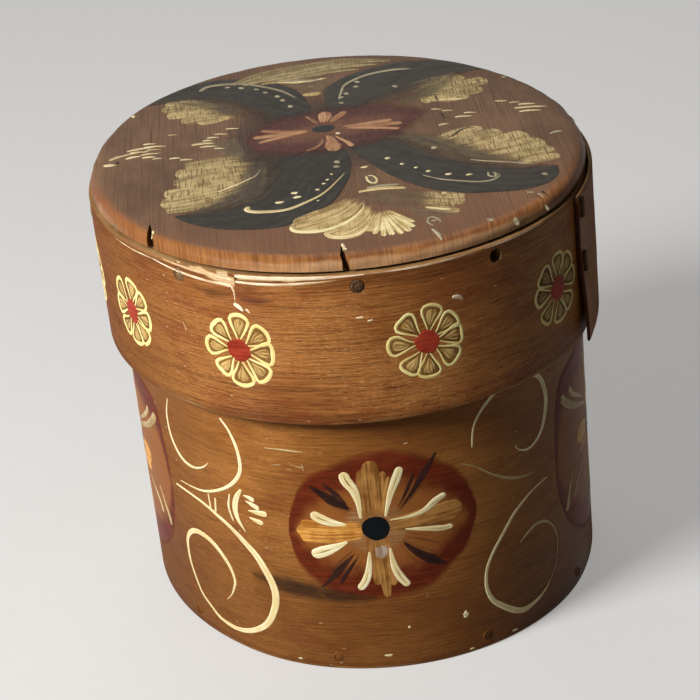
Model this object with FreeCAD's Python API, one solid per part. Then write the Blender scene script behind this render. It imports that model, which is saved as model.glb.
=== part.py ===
import FreeCAD, Part
import math
import os
from FreeCAD import Placement, Rotation, Vector

# A lidded bentwood box of slightly oval plan. Millimetres, +Z up, front towards -Y.
# The origin is the middle of the face that the box stands on.
#
# Both walls are one strip of wood each, bent round until its ends lap, thinned into a
# scarf where they lap, and sewn there with split root. The bottom board and the lid board
# are held in their walls by wooden pegs. The lid's wall slips down over the box's wall,
# and the lid board comes to rest on the top edge of the box's wall.

# ---- outline of the lid's wall, outside --------------------------------------------
lid_width = 217.0             # across, along X
lid_length = 248.0            # front to back, along Y

# ---- heights -----------------------------------------------------------------------
rim_height = 187.0            # top edge of the lid's wall, above the base
lid_wall_depth = 65.0         # height of the lid's wall
lid_board_depth = 10.5        # how far the board goes down inside the lid's wall
lid_board_proud = 8.4         # how far it stands up out of that wall, in the middle
lid_board_tilt = 1.1          # degrees by which its top rises towards the back
bottom_board_thickness = 12.0

# ---- walls and fits ----------------------------------------------------------------
lid_wall = 4.2                # thickness of the lid's strip
body_wall = 4.0               # thickness of the box's strip
lid_clearance = 2.5           # gap between the two walls, all round
board_clearance = 0.3         # gap round each board, bridged by the pegs
lid_lip_inset = 2.0           # the board's lip stops this far inside the lid's outline
lid_lip_gap = 1.2             # between that lip and the rim under it
lid_board_round = 5.5         # rounded upper edge of the lid board
bottom_board_chamfer = 1.0

# ---- scarf laps, angles from the front (-Y) towards the right (+X) -------------------
scarf_tip = 0.8               # thickness of the inner end, where it runs out
scarf_gap = 0.3               # between the two plies
scarf_ramp = 3.0              # degrees over which the outer ply comes in behind the tip
lid_lap_angle = 50.3          # where the lid's outer end shows
lid_lap_span = 40.0           # degrees of lap behind that end
lid_lap_lead = 0.0            # degrees of thinning ahead of that end
lid_lap_end = 1.8             # thickness of the outer end
body_lap_angle = 152.0
body_lap_span = 40.0
body_lap_lead = 20.0
body_lap_end = 1.6

# ---- root lacing -------------------------------------------------------------------
root_width = 3.0
root_thickness = 1.0
root_gap = 0.1                # between root and wood
slot_play = 0.2               # a slot is wider and taller than the root by this
stitch_length = 7.5           # the stretch that shows outside
stitch_pitch = 24.0
lacing_inset = 1.9            # degrees from the end of a ply to the lacing that holds it
lid_stitch_drop = 2.0         # from the rim down to the first slot
lid_unsewn = 25.0             # the lower stretch of the lid's lap, which has no stitch
body_stitch_rise = 2.6        # from the bottom board up to the first slot
body_unsewn = 5.0             # the stretch below the top edge, which has no stitch

# ---- pegs --------------------------------------------------------------------------
peg_diameter = 5.6
peg_length = 20.0
peg_proud = 0.3
lid_peg_angles = (-130.0, -93.0, -56.8, -13.1, 19.8, 108.0, 147.0, 188.0)
lost_peg_angle = 19.8         # its hole is empty
body_peg_angles = (-150.0, -110.0, -70.0, -28.0, 12.0, 50.0, 90.0, 128.0)

# ---- worked out --------------------------------------------------------------------
lid_inside = -lid_wall                            # offsets from the lid's outside
body_outside = lid_inside - lid_clearance
body_inside = body_outside - body_wall
body_height = rim_height - lid_board_depth
lid_peg_height = rim_height - lid_board_depth / 2
body_peg_height = bottom_board_thickness / 2
FULL_TURN = 360.0
SPLINE_POINTS = 25                                # points through which a scarf face runs
SAME_HEIGHT = 1e-6


class Oval:
    """A closed plan of four tangent arcs, as close to an ellipse as four arcs come.

    Places on it are given by the angle of its outward normal, from -Y towards +X, and by
    an offset along that normal, so that every offset of it is made of four arcs too.
    """

    def __init__(self, width, length):
        half_width, half_length = width / 2, length / 2
        end_radius = half_width * math.sqrt(half_width / half_length)
        self.end_centre = half_length - end_radius
        self.end_radius = end_radius
        self.side_radius = ((half_width ** 2 + self.end_centre ** 2 - end_radius ** 2)
                            / (2 * (half_width - end_radius)))
        self.side_centre = self.side_radius - half_width
        self.turn = math.degrees(math.atan(self.side_centre / self.end_centre))
        self.joints = (-180 + self.turn, -self.turn, self.turn, 180 - self.turn)

    def arc(self, angle):
        """Centre and radius of the arc that has this normal."""
        angle = (angle + 180) % FULL_TURN - 180
        if abs(angle) <= self.turn:
            return Vector(0, -self.end_centre, 0), self.end_radius
        if abs(angle) >= 180 - self.turn:
            return Vector(0, self.end_centre, 0), self.end_radius
        return Vector(-math.copysign(self.side_centre, angle), 0, 0), self.side_radius

    def point(self, angle, offset, z=0.0):
        centre, radius = self.arc(angle)
        return centre + normal(angle) * (radius + offset) + Vector(0, 0, z)

    def along(self, start, end, offset):
        """Arc edges at one offset, from the start angle to the end angle."""
        low, high = min(start, end), max(start, end)
        stops = [joint + turns * FULL_TURN for turns in (-1, 0, 1, 2) for joint in self.joints]
        stops = [low] + sorted(stop for stop in stops if low < stop < high) + [high]
        if end < start:
            stops.reverse()
        edges = []
        for first, last in zip(stops, stops[1:]):
            middle = (first + last) / 2
            centre, radius = self.arc(middle)
            ends = [centre + normal(angle) * (radius + offset) for angle in (first, middle, last)]
            edges.append(Part.Arc(*ends).toShape())
        return edges

    def easing(self, start, end, offset_start, offset_end):
        """One edge whose offset changes evenly between two angles."""
        spots = []
        for i in range(SPLINE_POINTS):
            part = i / (SPLINE_POINTS - 1)
            spots.append(self.point(start + (end - start) * part,
                                    offset_start + (offset_end - offset_start) * part))
        curve = Part.BSplineCurve()
        curve.interpolate(spots)
        return curve.toShape()

    def slab(self, offset, low, high):
        """A solid with this plan between two heights."""
        face = Part.Face(Part.Wire(self.along(-180, 180, offset)))
        face.translate(Vector(0, 0, low))
        return face.extrude(Vector(0, 0, high - low))


def normal(angle):
    turn = math.radians(angle)
    return Vector(math.sin(turn), -math.cos(turn), 0)


plan = Oval(lid_width, lid_length)


class Lap:
    """The scarf of one strip: angles of its two ends, and how thick its plies are."""

    def __init__(self, inside, wall, angle, span, lead, end):
        self.inside, self.wall = inside, wall
        self.start, self.finish = angle, angle + span
        self.lead_start = angle - lead
        self.end = end

    def inner_ply(self, angle):
        """Thickness of the inner ply, which thins evenly to its tip."""
        part = (angle - self.lead_start) / (self.finish - self.lead_start)
        return self.wall + (scarf_tip - self.wall) * part

    def outer_start(self):
        """Offset of the outer end's outer face from the inside of the wall."""
        return self.inner_ply(self.start) + scarf_gap + self.end

    def outer_face(self, angle):
        """Offset of the outer face over the lap, from the inside of the wall."""
        part = (angle - self.start) / (self.finish - self.start)
        return self.outer_start() + (self.wall - self.outer_start()) * part

    def strip(self, low, high):
        """The bent strip: one solid that starts and ends in the lap."""
        inside, wall = self.inside, self.wall
        tip = inside + scarf_tip
        seat = self.inner_ply(self.start) + scarf_gap
        edges = [plan.easing(self.start, self.finish, inside + self.outer_start(), inside + wall)]
        edges += plan.along(self.finish, self.lead_start + FULL_TURN, inside + wall)
        edges += [plan.easing(self.lead_start + FULL_TURN, self.finish + FULL_TURN, inside + wall, tip)]
        edges += [line(self.finish, tip, inside)]
        edges += plan.along(self.finish + FULL_TURN, self.finish + scarf_ramp, inside)
        edges += [plan.easing(self.finish + scarf_ramp, self.finish, inside, tip + scarf_gap)]
        edges += [plan.easing(self.finish, self.start, tip + scarf_gap, inside + seat)]
        edges += [line(self.start, inside + seat, inside + self.outer_start())]
        face = Part.Face(Part.Wire(edges))
        face.translate(Vector(0, 0, low))
        return face.extrude(Vector(0, 0, high - low))


def line(angle, offset_start, offset_end):
    return Part.LineSegment(plan.point(angle, offset_start), plan.point(angle, offset_end)).toShape()


def block(angle, inner, outer, width, low, high):
    """A small block square to the wall, between two offsets and two heights."""
    box = Part.makeBox(width, outer - inner, high - low, Vector(-width / 2, inner, low))
    centre, radius = plan.arc(angle)
    box.translate(Vector(0, radius, 0))
    box.Placement = Placement(centre, Rotation(Vector(0, 0, 1), angle + 180)).multiply(box.Placement)
    return box


def peg(angle, outer, z, length, diameter):
    """A round peg, or its hole, that ends at an offset and points at the middle of the plan."""
    place = plan.point(angle, outer, z)
    return Part.makeCylinder(diameter / 2, length, place, normal(angle) * -1)


def lacing(lap, angle, slots):
    """Running stitch of split root: outside between each pair of slots, inside between pairs."""
    face = lap.inside + (lap.outer_face(angle) if lap.start <= angle <= lap.finish else lap.wall)
    outside = (face + root_gap, face + root_gap + root_thickness)
    inside = (lap.inside - root_gap - root_thickness, lap.inside - root_gap)
    half = root_thickness / 2
    runs = []
    for number, slot in enumerate(slots):
        first_slot = number == 0
        inner_end = lap.inside if first_slot else inside[0]
        runs.append(block(angle, inner_end, outside[1], root_width, slot - half, slot + half))
    for number, (one, other) in enumerate(zip(slots, slots[1:])):
        low, high = min(one, other) - half, max(one, other) + half
        side = outside if number % 2 == 0 else inside
        runs.append(block(angle, side[0], side[1], root_width, low, high))
    return runs[0].fuse(runs[1:]).removeSplitter()


def slots_for(lap, angle, slots):
    half = (root_thickness + slot_play) / 2
    outer = lap.inside + lap.outer_start() + lap.wall
    return [block(angle, lap.inside - lap.wall, outer, root_width + slot_play, slot - half, slot + half)
            for slot in slots]


def stitch_heights(first, last):
    """Slot heights in the order in which the root passes, for as many stitches as fit."""
    step = math.copysign(1, last - first)
    count = 1 + int((abs(last - first) - stitch_length) / stitch_pitch)
    starts = [first + step * stitch_pitch * i for i in range(count)]
    return [height for start in starts for height in (start, start + step * stitch_length)]


def make_lid_board(rows):
    """A plug inside the lid's wall, and a rounded lip over the rim that rises to the back.

    The plug is grooved where the root runs down between it and the wall.
    """
    lip_bottom = rim_height + lid_lip_gap
    lip_top = rim_height + lid_board_proud
    lip = plan.slab(-lid_lip_inset, body_height, lip_top)
    lip = lip.makeFillet(lid_board_round, top_edges(lip, lip_top))
    lip.rotate(Vector(0, 0, rim_height), Vector(1, 0, 0), lid_board_tilt)
    corner = Vector(-lid_width, -lid_length, lip_bottom)
    above = Part.makeBox(2 * lid_width, 2 * lid_length, lid_width, corner)
    lip = lip.common(above)
    plug = plan.slab(lid_inside - board_clearance, body_height, lip_bottom)
    groove = lid_inside - root_thickness - 2 * root_gap
    grooves = [block(row, groove, lid_inside, root_width + slot_play, body_height, rim_height)
               for row in rows]
    return plug.fuse(lip).removeSplitter().cut(grooves)


def export(name, shape):
    shape.exportStep(os.path.join("parts", name + ".step"))
    print(f"{name}: {len(shape.Solids)} solids, {shape.Volume / 1000:.1f} cm3, valid {shape.isValid()}")


def build():
    lid_lap = Lap(lid_inside, lid_wall, lid_lap_angle, lid_lap_span, lid_lap_lead, lid_lap_end)
    body_lap = Lap(body_inside, body_wall, body_lap_angle, body_lap_span, body_lap_lead, body_lap_end)
    lid_bottom = rim_height - lid_wall_depth
    lid_slots = stitch_heights(rim_height - lid_stitch_drop, lid_bottom + lid_unsewn)
    body_slots = stitch_heights(bottom_board_thickness + body_stitch_rise, body_height - body_unsewn)

    # walls, with their slots and peg holes
    lid_band = lid_lap.strip(lid_bottom, rim_height)
    body_band = body_lap.strip(0, body_height)
    lid_rows = (lid_lap.start + lacing_inset, lid_lap.finish - lacing_inset)
    body_rows = (body_lap.start + lacing_inset, body_lap.finish - lacing_inset)
    lid_cuts = [cut for row in lid_rows for cut in slots_for(lid_lap, row, lid_slots)]
    body_cuts = [cut for row in body_rows for cut in slots_for(body_lap, row, body_slots)]
    lid_holes = [peg(angle, 0, lid_peg_height, peg_length, peg_diameter) for angle in lid_peg_angles]
    body_holes = [peg(angle, body_outside, body_peg_height, peg_length, peg_diameter)
                  for angle in body_peg_angles]
    lid_band = lid_band.cut(lid_cuts + lid_holes)
    body_band = body_band.cut(body_cuts + body_holes)

    # boards
    bottom = plan.slab(body_inside - board_clearance, 0, bottom_board_thickness)
    bottom = bottom.makeChamfer(bottom_board_chamfer, top_edges(bottom, bottom_board_thickness))
    bottom = bottom.cut(body_holes)
    lid_board = make_lid_board(lid_rows).cut(lid_holes)

    # pegs: each fills its hole and stands a little proud of the wall
    lid_pegs = [peg(angle, peg_proud, lid_peg_height, peg_length + peg_proud, peg_diameter)
                for angle in lid_peg_angles if angle != lost_peg_angle]
    body_pegs = [peg(angle, body_outside + peg_proud, body_peg_height, peg_length + peg_proud, peg_diameter)
                 for angle in body_peg_angles]

    export("body_band", body_band)
    export("bottom_board", bottom)
    export("bottom_pegs", Part.makeCompound(body_pegs))
    export("body_lacing_outer_end", lacing(body_lap, body_rows[0], body_slots))
    export("body_lacing_inner_end", lacing(body_lap, body_rows[1], body_slots))
    export("lid_band", lid_band)
    export("lid_board", lid_board)
    export("lid_pegs", Part.makeCompound(lid_pegs))
    export("lid_lacing_outer_end", lacing(lid_lap, lid_rows[0], lid_slots))
    export("lid_lacing_inner_end", lacing(lid_lap, lid_rows[1], lid_slots))


def top_edges(solid, height):
    """The edges that lie whole in the top face."""
    return [edge for edge in solid.Edges
            if abs(edge.BoundBox.ZMin - height) < SAME_HEIGHT
            and abs(edge.BoundBox.ZMax - height) < SAME_HEIGHT]


os.makedirs("parts", exist_ok=True)
build()
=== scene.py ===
# %% [markdown]
# # A painted bentwood box with a lift-off lid
#
# The real box is made of strips and boards: a wall bent round and sewn with root, a board
# pegged into its bottom, and a lid made the same way that slips down over it. This lesson
# makes each piece as its maker would. A strip is planed, rounded and chipped while it lies
# flat on the bench, and only then bent round. The ornament is then brushed on, stroke by
# stroke, as a thin layer of real paint.
#
# Everything is in metres, and the frame that is loaded here fixes where each piece goes.

# %% The frame
import math
from contextlib import contextmanager
from functools import cache

import bmesh
import bpy
import numpy as np
from mathutils import Matrix, Vector, noise
from mathutils.bvhtree import BVHTree


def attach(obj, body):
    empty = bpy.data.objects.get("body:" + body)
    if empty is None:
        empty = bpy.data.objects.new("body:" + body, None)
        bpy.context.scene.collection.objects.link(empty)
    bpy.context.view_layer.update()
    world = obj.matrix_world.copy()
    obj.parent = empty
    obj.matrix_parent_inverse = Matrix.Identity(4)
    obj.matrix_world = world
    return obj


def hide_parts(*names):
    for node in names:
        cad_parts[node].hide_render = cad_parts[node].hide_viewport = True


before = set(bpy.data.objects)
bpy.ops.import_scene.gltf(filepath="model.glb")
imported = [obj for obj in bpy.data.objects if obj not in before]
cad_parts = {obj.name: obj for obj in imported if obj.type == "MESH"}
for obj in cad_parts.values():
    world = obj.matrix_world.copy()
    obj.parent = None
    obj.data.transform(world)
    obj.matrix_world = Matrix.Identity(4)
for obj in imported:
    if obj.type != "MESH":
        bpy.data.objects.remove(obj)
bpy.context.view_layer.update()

MM = 0.001

# %% [markdown]
# ## Working at the bench
#
# Blender's own modelling tools act on whatever is selected. So each step starts with
# nothing selected, enters edit mode on one piece, and picks its faces or edges by where
# they are. The small helpers below do just that, and keep the later cells short.

# %% Bench helpers
def mm(*values):
    """Millimetres as Blender's metres."""
    return tuple(value * MM for value in values)


def lay_down_tools():
    """Leaves edit mode and deselects everything."""
    if bpy.context.object and bpy.context.object.mode != "OBJECT":
        bpy.ops.object.mode_set(mode="OBJECT")
    bpy.ops.object.select_all(action="DESELECT")


def take(piece):
    """Makes one piece the selected and active one."""
    lay_down_tools()
    piece.select_set(True)
    bpy.context.view_layer.objects.active = piece


def name_newest(name):
    piece = bpy.context.active_object
    piece.name = piece.data.name = name
    return piece


def new(kind, name, **how):
    """One of Blender's basic meshes: a grid, a cube, a cylinder or a circle."""
    lay_down_tools()
    getattr(bpy.ops.mesh, f"primitive_{kind}_add")(**how)
    return name_newest(name)


def bar(name, centre, size):
    """A square bar, told by its middle and its three sizes in millimetres."""
    return new("cube", name, size=1, location=mm(*centre), scale=mm(*size))


def rod(name, sides, diameter, length, centre, rotation=(0, 0, 0)):
    """A round bar with as many flat sides as told, in millimetres."""
    return new("cylinder", name, vertices=sides, radius=diameter / 2 * MM, depth=length * MM,
               location=mm(*centre), rotation=rotation)


@contextmanager
def edit(piece):
    """Edit mode on one piece, with nothing selected in it."""
    take(piece)
    bpy.ops.object.mode_set(mode="EDIT")
    bpy.ops.mesh.select_all(action="DESELECT")
    yield
    bpy.ops.object.mode_set(mode="OBJECT")


def pick(kind, test):
    """Selects the edges or faces of the piece in edit mode that pass a test."""
    mesh = bmesh.from_edit_mesh(bpy.context.object.data)
    bpy.ops.mesh.select_mode(type={"edges": "EDGE", "faces": "FACE"}[kind])
    bpy.ops.mesh.select_all(action="DESELECT")
    for part in getattr(mesh, kind):
        if test(part):
            part.select_set(True)
    bmesh.update_edit_mesh(bpy.context.object.data)


def extrude(rise):
    bpy.ops.mesh.extrude_region_move(TRANSFORM_OT_translate={"value": (0, 0, rise)})


def thicken(rise):
    """Makes a solid of the sheet in edit mode, with its faces turned outwards."""
    bpy.ops.mesh.select_all(action="SELECT")
    extrude(rise)
    bpy.ops.mesh.select_all(action="SELECT")
    bpy.ops.mesh.normals_make_consistent(inside=False)


def bevel(width, steps):
    bpy.ops.mesh.bevel(offset=width * MM, segments=steps, affect="EDGES")


def rings(count, width):
    """Insets the picked face ring by ring, and closes the last ring with a fan."""
    for _ in range(count):
        bpy.ops.mesh.inset(thickness=width * MM)
    bpy.ops.mesh.poke()


def apply_all(piece):
    """Applies the piece's modifiers and its place, so that its object sits at the origin."""
    take(piece)
    for modifier in list(piece.modifiers):
        bpy.ops.object.modifier_apply(modifier=modifier.name)
    bpy.ops.object.transform_apply(location=True, rotation=True, scale=True)
    return piece


def join(pieces, name):
    """Joins pieces into the first one."""
    take(pieces[0])
    if len(pieces) > 1:
        for piece in pieces:
            piece.select_set(True)
        bpy.ops.object.join()
    return name_newest(name)


def carve(piece, cutters):
    """Cuts the cutters out of a piece, and throws them away."""
    cutter = join([apply_all(c) for c in cutters], "cutter")
    cut = piece.modifiers.new("cut", "BOOLEAN")
    cut.operation, cut.solver, cut.object = "DIFFERENCE", "EXACT", cutter
    apply_all(piece)
    bpy.data.objects.remove(cutter)


def points_of(piece):
    spots = np.empty(len(piece.data.vertices) * 3)
    piece.data.vertices.foreach_get("co", spots)
    return spots.reshape(-1, 3)


def move_points(piece, spots):
    piece.data.vertices.foreach_set("co", np.ascontiguousarray(spots, float).ravel())
    piece.data.update()


def mark(piece, name, values):
    """Stores one number for each vertex, for the piece's finish to read."""
    layer = piece.data.attributes.new(name, "FLOAT", "POINT")
    layer.data.foreach_set("value", np.asarray(values, np.float32))


def map_flat(piece, name, flat):
    """Gives the piece a UV map: its place on the flat wood, in metres."""
    corners = np.empty(len(piece.data.loops), int)
    piece.data.loops.foreach_get("vertex_index", corners)
    layer = piece.data.uv_layers.new(name=name)
    layer.data.foreach_set("uv", np.ascontiguousarray(flat[corners], np.float32).ravel())


def smooth(piece, degrees=35.0):
    """Shades the piece smooth, but for edges sharper than the angle, and prints its size."""
    take(piece)
    bpy.ops.object.shade_smooth_by_angle(angle=math.radians(degrees))
    report(piece)


def report(piece):
    size = np.ptp(points_of(piece), axis=0) / MM
    print(f"{piece.name}: {len(piece.data.polygons)} faces, "
          f"{size[0]:.1f} x {size[1]:.1f} x {size[2]:.1f} mm")

# %% [markdown]
# ## The plan of the box
#
# The box isn't round: it is a little longer from front to back than it is wide, as a strip
# of wood bent round a worn form often is. Four tangent arcs give such an oval, and each
# offset of it is made of four arcs again. A place on it is told by the angle of its outward
# normal, from the front towards the right, or by the length along the strip from the front.

# %% Plan
LID_WIDTH, LID_LENGTH = 217.0, 248.0
RIM, LID_LOW, BODY_TOP = 187.0, 122.0, 176.5
LID_WALL, BODY_WALL, CLEARANCE = 4.2, 4.0, 2.5
BODY_SKIN = -LID_WALL - CLEARANCE
LID_INSIDE, BODY_INSIDE = -LID_WALL, BODY_SKIN - BODY_WALL


class Plan:
    """The oval outline, in millimetres. Offsets are measured outwards along the normal."""

    def __init__(self, width, length):
        half_width, half_length = width / 2, length / 2
        self.end = half_width * math.sqrt(half_width / half_length)
        self.end_centre = half_length - self.end
        self.side = ((half_width ** 2 + self.end_centre ** 2 - self.end ** 2)
                     / (2 * (half_width - self.end)))
        self.side_centre = self.side - half_width
        self.turn = math.degrees(math.atan(self.side_centre / self.end_centre))
        joints = sorted(360 * lap + side * angle for lap in (-2, -1, 0, 1, 2)
                        for angle in (self.turn, 180 - self.turn) for side in (-1, 1))
        self.joints = np.array([-720.0] + [j for j in joints if abs(j) < 720] + [720.0])

    def on_side(self, angle):
        angle = (np.asarray(angle, float) + 180) % 360 - 180
        return (np.abs(angle) > self.turn) & (np.abs(angle) < 180 - self.turn), angle

    def lengths(self, offset):
        """Length along the strip at each joint between two arcs, from the front."""
        middles = (self.joints[1:] + self.joints[:-1]) / 2
        radii = np.where(self.on_side(middles)[0], self.side, self.end) + offset
        runs = np.r_[0, np.cumsum(np.radians(np.diff(self.joints)) * radii)]
        return runs - np.interp(0, self.joints, runs)

    def angle(self, length, offset):
        return np.interp(length, self.lengths(offset), self.joints)

    def length(self, angle, offset):
        return np.interp(angle, self.joints, self.lengths(offset))

    def point(self, angle, offset):
        side, turned = self.on_side(angle)
        radius = np.where(side, self.side, self.end) + offset
        x = np.where(side, -np.sign(turned) * self.side_centre, 0.0)
        y = np.where(side, 0.0, np.where(np.abs(turned) < 90, -1.0, 1.0) * self.end_centre)
        turned = np.radians(turned)
        return x + np.sin(turned) * radius, y - np.cos(turned) * radius


plan = Plan(LID_WIDTH, LID_LENGTH)
print("once round the lid", round(float(plan.length(360, 0)), 1), "mm")

# %% [markdown]
# ## How a strip laps and bends
#
# Each strip's ends are thinned so that they lap in a long scarf. The outer end stands a
# little proud where it starts, which shows as a step down the side of the lid. The strip
# could be modelled bent from the start, but chips, holes and rounded edges are far easier
# to cut on flat wood. So it lies on the bench first: x along the strip, y up the box,
# z outwards. One function then bends it, and the same function later carries each brush
# stroke on to the wood. Old wood is never quite even, so slow waves are added as well.

# %% Strips
SCARF_TIP, SCARF_GAP, SCARF_RAMP = 0.8, 0.3, 3.0
SHRINK = 0.45          # the wood stays this far inside its outline, so that paint fits too
# slow waves: how often each goes round, its lean up the wall, where it starts, its size in mm
WAVES = ((2, 0.9, 0.6, 0.07), (3, -1.4, 2.1, 0.05), (5, 2.2, 4.0, 0.03), (9, 1.1, 1.0, 0.018))
WAVE_RISE = 30


class Strip:
    """One bent strip: its faces, as offsets from the lid's outline, and its bend."""

    def __init__(self, inside, wall, lap, span, lead, end, low, high):
        self.inside, self.wall, self.low, self.high = inside, wall, low, high
        self.skin_offset = inside + wall
        self.start, self.finish = lap, lap + span
        thin = wall + (SCARF_TIP - wall) * lead / (span + lead)
        seat = thin + SCARF_GAP
        self.stops = [lap, lap + span, lap + span + SCARF_RAMP, lap - lead + 360, lap + span + 360]
        self.outer = [seat + end, wall, wall, wall, SCARF_TIP]
        self.inner = [seat, SCARF_TIP + SCARF_GAP, 0.0, 0.0, 0.0]
        self.lift = lambda angle, height: 0.0

    def waves(self, angle, height):
        turned = np.radians(angle)
        total = sum(size * np.sin(count * turned + rise * height / WAVE_RISE + phase)
                    for count, rise, phase, size in WAVES)
        return total - SHRINK

    def skin(self, angle, height):
        """Offset of the outside of the wall, at any angle."""
        turned = np.where(angle < self.start, angle + 360, angle)
        turned = np.where(turned > self.start + 360, turned - 360, turned)
        flat = np.interp(turned, self.stops[:2] + [self.start + 359.99], self.outer[:2] + [self.wall])
        return self.inside + flat + self.waves(angle, height) + self.lift(turned, height)

    def bend(self, spots):
        """Bends points on the flat strip, in millimetres, round the box."""
        along, height, depth = spots.T
        angle = plan.angle(along, self.skin_offset)
        outer = np.interp(angle, self.stops, self.outer)
        inner = np.interp(angle, self.stops, self.inner)
        part = 1 + depth / self.wall
        offset = self.inside + inner + (outer - inner) * part
        offset += self.waves(angle, height) * part + self.lift(angle, height)
        x, y = plan.point(angle, offset)
        return np.stack([x, y, height], 1)

    def paint(self, spots):
        """Puts points (along, height, thickness of paint) on the outside of the wall."""
        along, height, rise = spots.T
        angle = plan.angle(along, self.skin_offset)
        x, y = plan.point(angle, self.skin(angle, height) + rise)
        return np.stack([x, y, height], 1)

    def along(self, angle):
        """Where an angle is on the flat strip, which starts at its outer end."""
        angle = angle + 360 if angle < self.start else angle
        return float(plan.length(angle, self.skin_offset))


lid_strip = Strip(LID_INSIDE, LID_WALL, lap=50.3, span=40.0, lead=0.0, end=1.8,
                  low=LID_LOW, high=RIM)
body_strip = Strip(BODY_INSIDE, BODY_WALL, lap=152.0, span=40.0, lead=20.0, end=1.6,
                   low=0.0, high=BODY_TOP)
SPRUNG, SPRUNG_ANGLE, SPRUNG_HIGH, SPRUNG_TALL = 2.4, 24, 160, 38


def sprung_end(angle, height):
    """The lower corner of the lid's outer end isn't sewn, and has sprung away."""
    past = np.clip(1 - (angle - lid_strip.start) / SPRUNG_ANGLE, 0, 1)
    below = np.clip((SPRUNG_HIGH - height) / SPRUNG_TALL, 0, 1)
    away = SPRUNG * past ** 2 * np.sin(below * math.pi / 2)
    return np.where(angle >= lid_strip.start, away, 0.0)


lid_strip.lift = sprung_end

# %% [markdown]
# ## The two walls
#
# A grid as long and wide as the strip is extruded to its thickness, and its long edges are
# bevelled, because handling has rounded them. Chips, peg holes and the slots for the root
# are cut out with a Boolean modifier while the strip is still flat. After that each corner
# of the mesh keeps its place on the flat strip as its UV map, so that grain and brush
# marks run along the wood and bend with it.

# %% Flat strips
TOUCH = 1e-5           # metres: nearer than this, two places are the same


def plane_strip(name, strip, columns, rows, rounding):
    """A flat strip on the bench, outer face up, with rounded long edges."""
    start = strip.along(strip.start)
    end = float(plan.length(strip.finish + 360, strip.skin_offset))
    piece = new("grid", name, x_subdivisions=columns, y_subdivisions=rows, size=1)
    with edit(piece):
        bpy.ops.mesh.select_all(action="SELECT")
        bpy.ops.transform.resize(value=((end - start) * MM, (strip.high - strip.low) * MM, 1))
        bpy.ops.transform.translate(value=mm((start + end) / 2, (strip.low + strip.high) / 2, 0))
        thicken(-strip.wall * MM)
        edges = mm(strip.low, strip.high)
        pick("edges", lambda edge: any(
            all(abs(v.co.y - y) < TOUCH for v in edge.verts) for y in edges)
            and abs(edge.verts[0].co.z - edge.verts[1].co.z) < TOUCH)
        bevel(rounding, 3)
    return piece


def break_out(start, end, lower, depth, seed):
    """A cutter for wood that has split off along the top edge, down to a ragged line."""
    random, steps, over = np.random.default_rng(seed), 18, 1.5
    cutter = new("grid", "break", x_subdivisions=steps, y_subdivisions=2, size=2)
    with edit(cutter):
        thicken(-1)
    spots = points_of(cutter)
    part, rise = (spots[:, 0] + 1) / 2, (spots[:, 1] + 1) / 2
    line = np.interp(part, np.linspace(0, 1, len(lower)), lower)
    ragged = random.normal(0, 1, 64)[np.round(part * steps).astype(int)]
    line = line + 0.22 * ragged
    floor = -depth * (0.75 + 0.25 * np.sin(part * 17) * rise) + 0.06 * ragged
    spots[:, 0] = start + (end - start) * part
    spots[:, 1] = line + (RIM + over - line) * rise
    spots[:, 2] = np.where(spots[:, 2] < -0.5, floor, over)
    move_points(cutter, spots * MM)
    return cutter


PEG, PEG_PLAY, PEG_GRIP = 5.6, 0.35, 0.7
ROOT_WIDTH, ROOT_THICK, SLOT_PLAY, ROW_INSET = 3.0, 1.0, 0.2, 1.9
LID_PEG_HEIGHT, BODY_PEG_HEIGHT = RIM - 5.25, 6.0
LOST_PEG = 19.8
LID_PEGS = (-130.0, -93.0, -56.8, -13.1, LOST_PEG, 108.0, 147.0, 188.0)
BODY_PEGS = (-150.0, -110.0, -70.0, -28.0, 12.0, 50.0, 90.0, 128.0)
LID_SLOTS = (185.0, 177.5, 161.0, 153.5)
BODY_SLOTS = tuple(14.6 + 24 * pair + stitch for pair in range(7) for stitch in (0, 7.5))


def drills(strip, angles, height, diameter):
    return [rod("drill", 28, diameter, 4 * strip.wall, (strip.along(angle), height, -strip.wall / 2))
            for angle in angles]


def rows_of(strip):
    """The angles of a lap's two rows of root."""
    return strip.start + ROW_INSET, strip.finish - ROW_INSET


def chisels(strip, heights):
    """Cutters for the slots: each row goes through both plies of the lap."""
    places = [float(plan.length(row + turn, strip.skin_offset))
              for row in rows_of(strip) for turn in (0, 360)]
    return [bar("chisel", (along, height, -strip.wall / 2),
                (ROOT_WIDTH + SLOT_PLAY, ROOT_THICK + SLOT_PLAY, 4 * strip.wall))
            for along in places for height in heights]


lid_wall = plane_strip("lid_wall", lid_strip, columns=372, rows=28, rounding=0.9)
lid_front = float(plan.length(360, 0))
carve(lid_wall, drills(lid_strip, LID_PEGS, LID_PEG_HEIGHT, PEG + PEG_PLAY)
      + chisels(lid_strip, LID_SLOTS)
      + [break_out(lid_front - 104, lid_front - 72.9, (186.9, 185.4, 183.9, 182.0, 181.0), 1.5, 3),
         break_out(lid_front - 72.3, lid_front - 35,
                   (184.7, 184.3, 184.8, 184.6, 185.6, 186.8), 1.1, 5)])
report(lid_wall)

body_wall = plane_strip("body_wall", body_strip, columns=318, rows=58, rounding=0.8)
carve(body_wall, drills(body_strip, BODY_PEGS, BODY_PEG_HEIGHT, PEG - PEG_GRIP)
      + chisels(body_strip, BODY_SLOTS))
report(body_wall)

# %% [markdown]
# ## Bending the walls
#
# What the paint needs to know is written down before the strip is bent: how far each point
# is from the long edges, where paint rubs off first, and how deep it lies. The outer face
# takes the painted finish and the rest stays bare, so faces are sorted by depth and by the
# way they face on the bench.

# %% Bend
PAINTED, BARE, RAW = 0, 1, 2          # the walls' three finishes, in the order of their slots


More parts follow.
